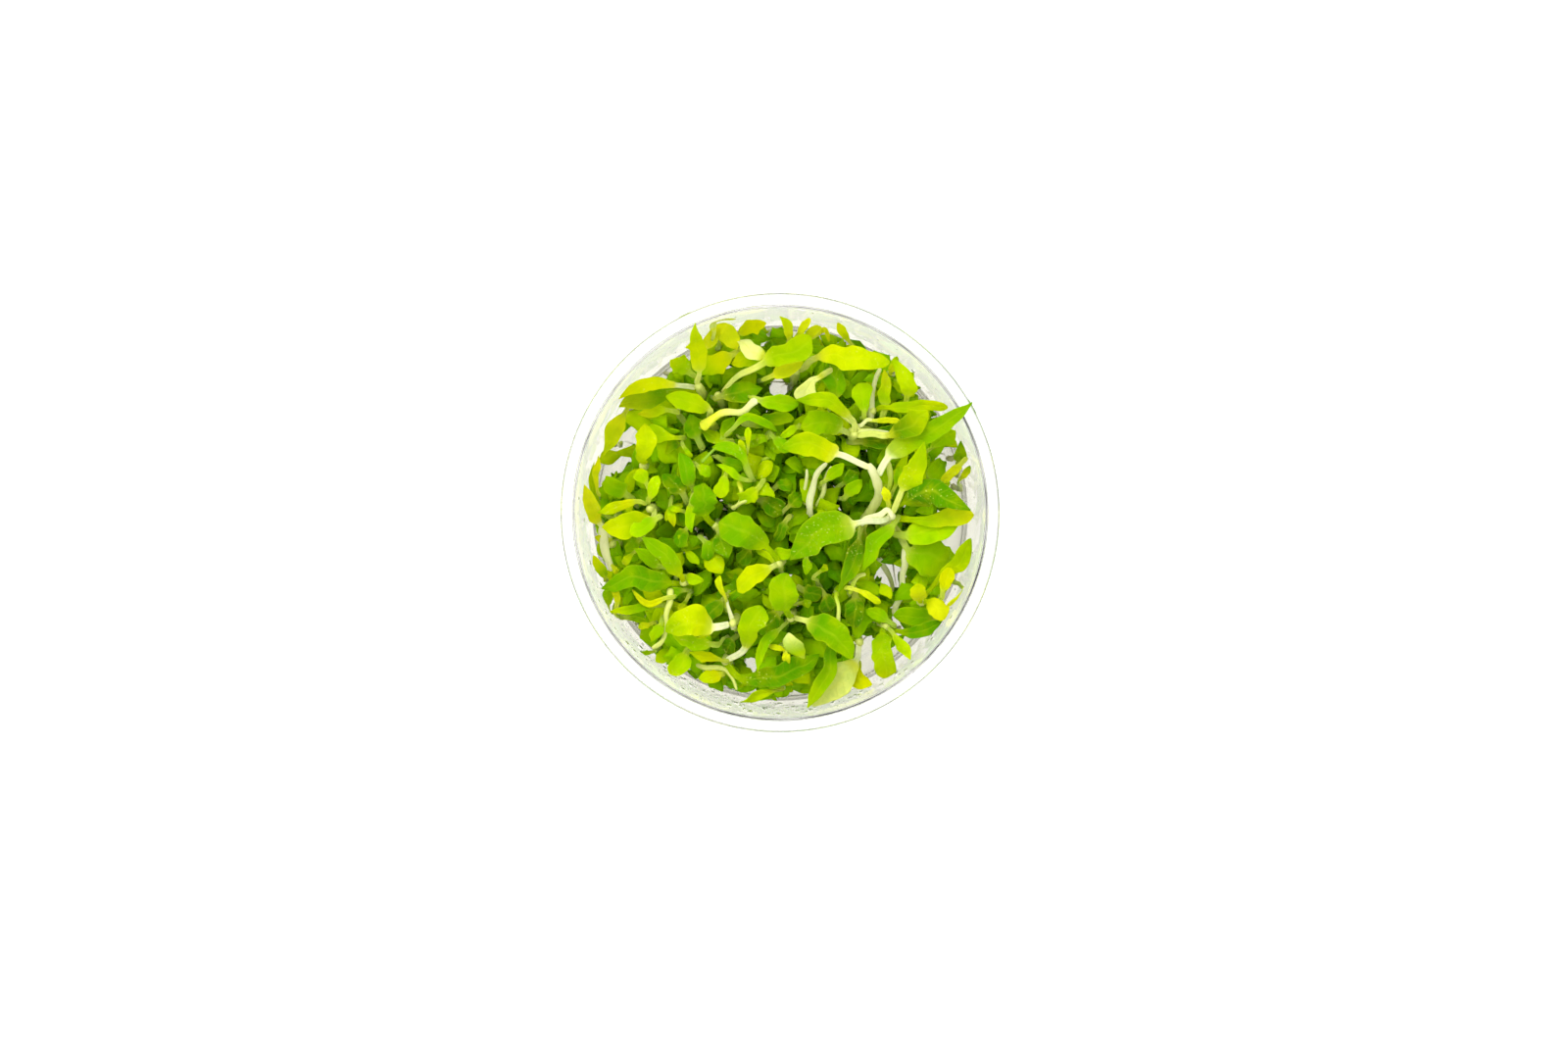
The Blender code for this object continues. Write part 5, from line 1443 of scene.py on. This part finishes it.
class WISTERIA_OT_stems(bpy.types.Operator):
    """Grow the stems that carry the large leaves, swollen a little at each node"""

    bl_idname = "wisteria.stems"
    bl_label = "Make Stems"

    def execute(self, context):
        material = stalk_finish()
        for number, name in enumerate(STEMS):
            path = stem_path(name)
            foot = path[0] - (path[1] - path[0]).normalized() * PLANTED
            path = [foot, *path]
            total = length_along(path)
            rings = []
            for i in range(STEM_RINGS + 1):
                share = i / STEM_RINGS
                turn = share * total / NODE_SPACING + number * NODE_TURN
                swell = 1 + NODE_SWELL * max(0.0, math.cos(2 * math.pi * turn)) ** 6
                radius = (STEM_FOOT_RADIUS + (STEM_TOP_RADIUS - STEM_FOOT_RADIUS) * share) * swell
                if i == STEM_RINGS:
                    radius *= ROUND_TOP
                rings.append(Ring(total * share, 0, radius, radius))
            stem = stand_blank(rings, STEM_SIDES)
            top_tint = colour_of(STEM_TOPS.get(name, "pale"))
            stops = [(0, colour_of("cream")), (0.5, colour_of("pale")), (1, top_tint)]
            paint(stem, rings, STEM_SIDES, stops)
            lay_along(stem, path, upright=True)
            bpy.ops.object.shade_smooth()
            settle(stem, f"wisteria_{name}", material, "stalk", name)
        return {"FINISHED"}


class WISTERIA_OT_leaves(bpy.types.Operator):
    """Grow the large leaves, each with its stalk, in place of its solid"""

    bl_idname = "wisteria.leaves"
    bl_label = "Make Large Leaves"

    def execute(self, context):
        materials = {slot: leaf_finish(slot, glow) for slot, glow in LEAF_GLOWS.items()}
        rng = random.Random(context.scene.wisteria_plants.seed + 4)
        for name, leaf in LEAVES.items():
            inside, along = on_stem(leaf.stem, leaf.height)
            towards = (Vector(leaf.path[0]) - inside).normalized()
            outwards = (towards - along * towards.dot(along)).normalized()
            spans = len(leaf.path)
            path = smooth_path([inside + outwards * 0.4, *leaf.path], [LARGE_LEAF_STEPS] * spans)
            stalk = length_along(path[:LARGE_LEAF_STEPS * (spans - 2) + 1])
            colours = [colour_of(tint) for tint in (leaf.stalk, leaf.stalk, leaf.base, leaf.tip)]
            outline = Outline(0.2, leaf.widest, leaf.full, leaf.teeth, leaf.lobes)
            fold, roll = leaf.fold * rng.uniform(*LARGE_LEAF_FOLDS), rng.uniform(*LARGE_LEAF_ROLLS)
            made = grow_leaf(
                path, stalk, leaf.width, outline, fold, roll, colours,
                LARGE_LEAF_RINGS, LARGE_LEAF_SIDES, rng,
            )
            warp(made, LARGE_LEAF_WAVES)
            bpy.ops.object.shade_smooth()
            settle(made, f"wisteria_{name}", materials[leaf.slot], leaf.slot, name)
        return {"FINISHED"}


class WISTERIA_OT_low_leaves(bpy.types.Operator):
    """Grow the leaves below the large ones, and the young stems and bare stalks between them"""

    bl_idname = "wisteria.low_leaves"
    bl_label = "Make Low Leaves"

    def execute(self, context):
        rng = random.Random(context.scene.wisteria_plants.seed)
        material = leaf_finish("low_leaf", LOW_LEAF_GLOW)
        stalks, lines = [], []
        for side, rows in LOW_LEAVES.items():
            grown = []
            for spots, heights, width, kind, base, tip in rows:
                points = low_leaf_points(spots, heights)
                heading = (points[1] - points[0]).normalized()
                root = points[0] - heading * 1.6 - Vector((0, 0, 1.2))
                path = smooth_path([root, *points], [LOW_LEAF_STEPS] * len(points))
                outline = OUTLINES[kind]
                total = length_along(path)
                first = length_along(path[:LOW_LEAF_STEPS + 1])
                stalk = first + outline.stalk * (total - first)
                stalk_tint = [(a + b) / 2 for a, b in zip(colour_of("pale"), colour_of(base))]
                colours = [stalk_tint, stalk_tint, *(lighter(colour_of(tint)) for tint in (base, tip))]
                if kind == "stalk":
                    colours = [colour_of(tint) for tint in (base, base, tip, tip)]
                fold, roll = rng.uniform(*LOW_LEAF_FOLDS), rng.uniform(*LOW_LEAF_ROLLS)
                made = grow_leaf(
                    path, stalk, width, outline, fold, roll, colours, LOW_LEAF_RINGS, LOW_LEAF_SIDES, rng,
                )
                (stalks if kind == "stalk" else grown).append(made)
                foot = Vector((root.x - heading.x * 1.5, root.y - heading.y * 1.5, GEL_TOP - PLANTED))
                hold_in(foot, SHOOT_REACH - 0.5)
                lines.append(rising_line(foot, root + heading * 0.2, rng, THIN_STEM_RADIUS))
            piece = joined(grown)
            warp(piece, LOW_LEAF_WAVES)
            bpy.ops.object.shade_smooth()
            settle(piece, f"low_leaves_{side}", material, "undergrowth", "undergrowth")
        stems = thin_stems(lines, "low_stalks")
        tint_by_height(stems, GEL_TOP, 34, colour_of("cream"), colour_of("lime"))
        piece = joined([*stalks, stems])
        warp(piece, LOW_LEAF_WAVES)
        bpy.ops.object.shade_smooth()
        settle(piece, "low_stalks", bpy.data.materials["wisteria_stalk"], "stalk", "undergrowth")
        return {"FINISHED"}


class WISTERIA_OT_shoots(bpy.types.Operator):
    """Grow the young shoots with opposite pairs of small leaves, which fill the cup below the leaves"""

    bl_idname = "wisteria.shoots"
    bl_label = "Make Young Shoots"

    def execute(self, context):
        plants = context.scene.wisteria_plants
        rng = random.Random(plants.seed + 1)
        small_leaves = make_small_leaves()
        feet = spread_feet(rng, in_millimetres(plants.shoot_spacing))
        material = leaf_finish("shoot_leaf", SHOOT_GLOW)
        for number in range(SHOOT_PIECES):
            lines, placed = [], []
            for foot in feet[number::SHOOT_PIECES]:
                lean = Vector((rng.uniform(-1.6, 1.6), rng.uniform(-1.6, 1.6), 0))
                top = foot + lean
                hold_in(top, SHOOT_REACH - 1.5)
                top.z = undergrowth_height(top.x, top.y) - rng.uniform(0.5, 3.0)
                line = rising_line(Vector((foot.x, foot.y, GEL_TOP - PLANTED)), top, rng, SHOOT_RADIUS)
                lines.append(line)
                placed.extend(shoot_leaves(line, rng, small_leaves))
            stems = thin_stems(lines, "shoot_stems")
            tint_by_height(stems, GEL_TOP, 30, colour_of("cream"), colour_of("spring"))
            piece = joined([copies(placed), stems])
            warp(piece, SHOOT_WAVES)
            settle(piece, f"young_shoots_{number + 1}", material, "undergrowth", "undergrowth")
        for leaf in small_leaves:
            bpy.data.objects.remove(leaf)
        return {"FINISHED"}


class WISTERIA_OT_roots(bpy.types.Operator):
    """Grow fine pale roots down into the gel"""

    bl_idname = "wisteria.roots"
    bl_label = "Make Roots"

    def execute(self, context):
        plants = context.scene.wisteria_plants
        rng = random.Random(plants.seed + 2)
        reach = in_millimetres(plants.root_length)
        lines = []
        for _ in range(ROOTS):
            radius, angle = ROOT_SPREAD * math.sqrt(rng.random()), rng.uniform(0, 2 * math.pi)
            start = from_middle(radius, angle, GEL_TOP - 0.3)
            away = Vector((rng.uniform(-1, 1), rng.uniform(-1, 1), 0)).normalized()
            middle = start + away * reach * 0.35 - Vector((0, 0, rng.uniform(1.2, 3.0)))
            end = start + away * reach * rng.uniform(0.55, 0.8) - Vector((0, 0, rng.uniform(3.4, 5.8)))
            hold_in(middle, ROOT_REACH)
            hold_in(end, ROOT_REACH)
            path = smooth_path((start, middle, end), (4, 4))
            lines.append([(point, ROOT_RADIUS * (1 - ROOT_TAPER * i)) for i, point in enumerate(path)])
        roots = thin_stems(lines, "roots")
        tint_by_height(roots, 3, GEL_TOP, colour_of("cream"), colour_of("cream"))
        settle(roots, "roots", bpy.data.materials["wisteria_stalk"], "stalk")
        return {"FINISHED"}


class WISTERIA_OT_drops(bpy.types.Operator):
    """Set drops of condensed water on the inside of the wall, most of them on the near side"""

    bl_idname = "wisteria.drops"
    bl_label = "Make Drops"

    def execute(self, context):
        settings = context.scene.wisteria_cup
        rng = random.Random(context.scene.wisteria_plants.seed + 3)
        start_piece()
        bpy.ops.mesh.primitive_uv_sphere_add(segments=8, ring_count=6, radius=1, calc_uvs=False)
        source = bpy.context.object
        bpy.ops.object.shade_smooth()
        largest = in_millimetres(settings.drop_radius)
        placed = []
        for number in range(settings.drops):
            turn = rng.gauss(DROP_SIDE, DROP_SPREAD) if number % 6 else rng.uniform(0, 360)
            angle = math.radians(turn)
            height = rng.uniform(GEL_TOP + 2.5, CUP_HEIGHT - 4)
            size = largest * (0.3 + 0.7 * rng.random() ** 3)
            depth = size * DROP_DEPTH
            at = from_middle(wall_radius(height) - depth * 0.98, angle, height)
            shape = Matrix.Diagonal((depth, size * rng.uniform(0.85, 1.15), size * rng.uniform(0.9, 1.35), 1))
            placed.append((source, Matrix.Translation(at) @ Matrix.Rotation(angle, 4, "Z") @ shape, None))
        drops = copies(placed)
        bpy.data.objects.remove(source)
        settle(drops, "condensation_drops", drop_finish(), "clear_plastic")
        return {"FINISHED"}


class WISTERIA_OT_stage(bpy.types.Operator):
    """Set the pale floor, the soft light and the camera that looks straight down"""

    bl_idname = "wisteria.stage"
    bl_label = "Make Stage"

    def execute(self, context):
        scene = context.scene
        stage = scene.wisteria_stage
        start_piece()
        bpy.ops.mesh.primitive_plane_add(size=FLOOR_SIZE, location=(0, 0, -FLOOR_DROP))
        floor = bpy.context.object
        floor.name = "floor"
        finish = Finish("pale_floor")
        away = finish.node("ShaderNodeVectorMath", {"operation": "LENGTH"}, {0: finish.place()})
        distance = Maths(finish, away.outputs["Value"])
        under = 1 - distance.step(FOOT_INNER_RADIUS * MM, WALL_TOP_RADIUS * MM)
        beside = stage.glow / stage.glow_below
        shader = finish.surface({
            "Base Color": (*stage.floor, 1),
            "Roughness": 0.9,
            "Specular IOR Level": 0.1,
            "Emission Color": finish.mix(under, (beside, beside, beside, 1), (1, 1, 1, 1)),
            "Emission Strength": stage.glow_below,
        })
        floor.data.materials.append(finish.done(shader))

        world = bpy.data.worlds.new("soft_room")
        world.use_nodes = True
        background = world.node_tree.nodes["Background"]
        background.inputs["Color"].default_value = (1, 1, 1, 1)
        background.inputs["Strength"].default_value = stage.sky
        scene.world = world

        lamp = bpy.data.lights.new("soft_lamp", "AREA")
        lamp.shape = "DISK"
        lamp.size = LAMP_SIZE
        lamp.energy = stage.lamp
        holder = bpy.data.objects.new("soft_lamp", lamp)
        holder.location = LAMP_PLACE
        holder.rotation_euler = Vector(LAMP_PLACE).to_track_quat("Z", "Y").to_euler()
        scene.collection.objects.link(holder)

        camera = bpy.data.cameras.new("camera")
        camera.sensor_width = SENSOR
        camera.lens = SENSOR * CAMERA_DISTANCE / FRAME_WIDTH
        view = bpy.data.objects.new("camera", camera)
        view.location = (CAMERA_X * MM, CAMERA_Y * MM, (CUP_HEIGHT + CAMERA_DISTANCE) * MM)
        scene.collection.objects.link(view)
        scene.camera = view
        scene.view_settings.view_transform = "Standard"
        return {"FINISHED"}


class WISTERIA_PT_panel(bpy.types.Panel):
    """Settings and operators of the water wisteria cup"""

    bl_idname = "WISTERIA_PT_panel"
    bl_label = "Water Wisteria"
    bl_space_type = "VIEW_3D"
    bl_region_type = "UI"
    bl_category = "Wisteria"

    def draw(self, context):
        for group, name in SETTINGS:
            box = self.layout.box()
            box.label(text=group.__doc__)
            settings = getattr(context.scene, name)
            for setting in group.__annotations__:
                box.prop(settings, setting)
        for operator in OPERATORS:
            self.layout.operator(operator.bl_idname)


SETTINGS = (
    (WisteriaColours, "wisteria_colours"),
    (WisteriaCup, "wisteria_cup"),
    (WisteriaPlants, "wisteria_plants"),
    (WisteriaStage, "wisteria_stage"),
)
OPERATORS = (
    WISTERIA_OT_stage, WISTERIA_OT_cup, WISTERIA_OT_gel, WISTERIA_OT_stems, WISTERIA_OT_leaves,
    WISTERIA_OT_low_leaves, WISTERIA_OT_shoots, WISTERIA_OT_roots, WISTERIA_OT_drops,
)


def register():
    for group, name in SETTINGS:
        bpy.utils.register_class(group)
        setattr(bpy.types.Scene, name, PointerProperty(type=group))
    for operator in OPERATORS:
        bpy.utils.register_class(operator)
    bpy.utils.register_class(WISTERIA_PT_panel)


def unregister():
    bpy.utils.unregister_class(WISTERIA_PT_panel)
    for operator in reversed(OPERATORS):
        bpy.utils.unregister_class(operator)
    for group, name in reversed(SETTINGS):
        delattr(bpy.types.Scene, name)
        bpy.utils.unregister_class(group)


def main():
    register()
    bpy.ops.wisteria.stage()
    bpy.ops.wisteria.cup()
    bpy.ops.wisteria.gel()
    bpy.ops.wisteria.stems()
    bpy.ops.wisteria.leaves()
    bpy.ops.wisteria.low_leaves()
    bpy.ops.wisteria.shoots()
    bpy.ops.wisteria.roots()
    bpy.ops.wisteria.drops()


if __name__ == "__main__":
    main()
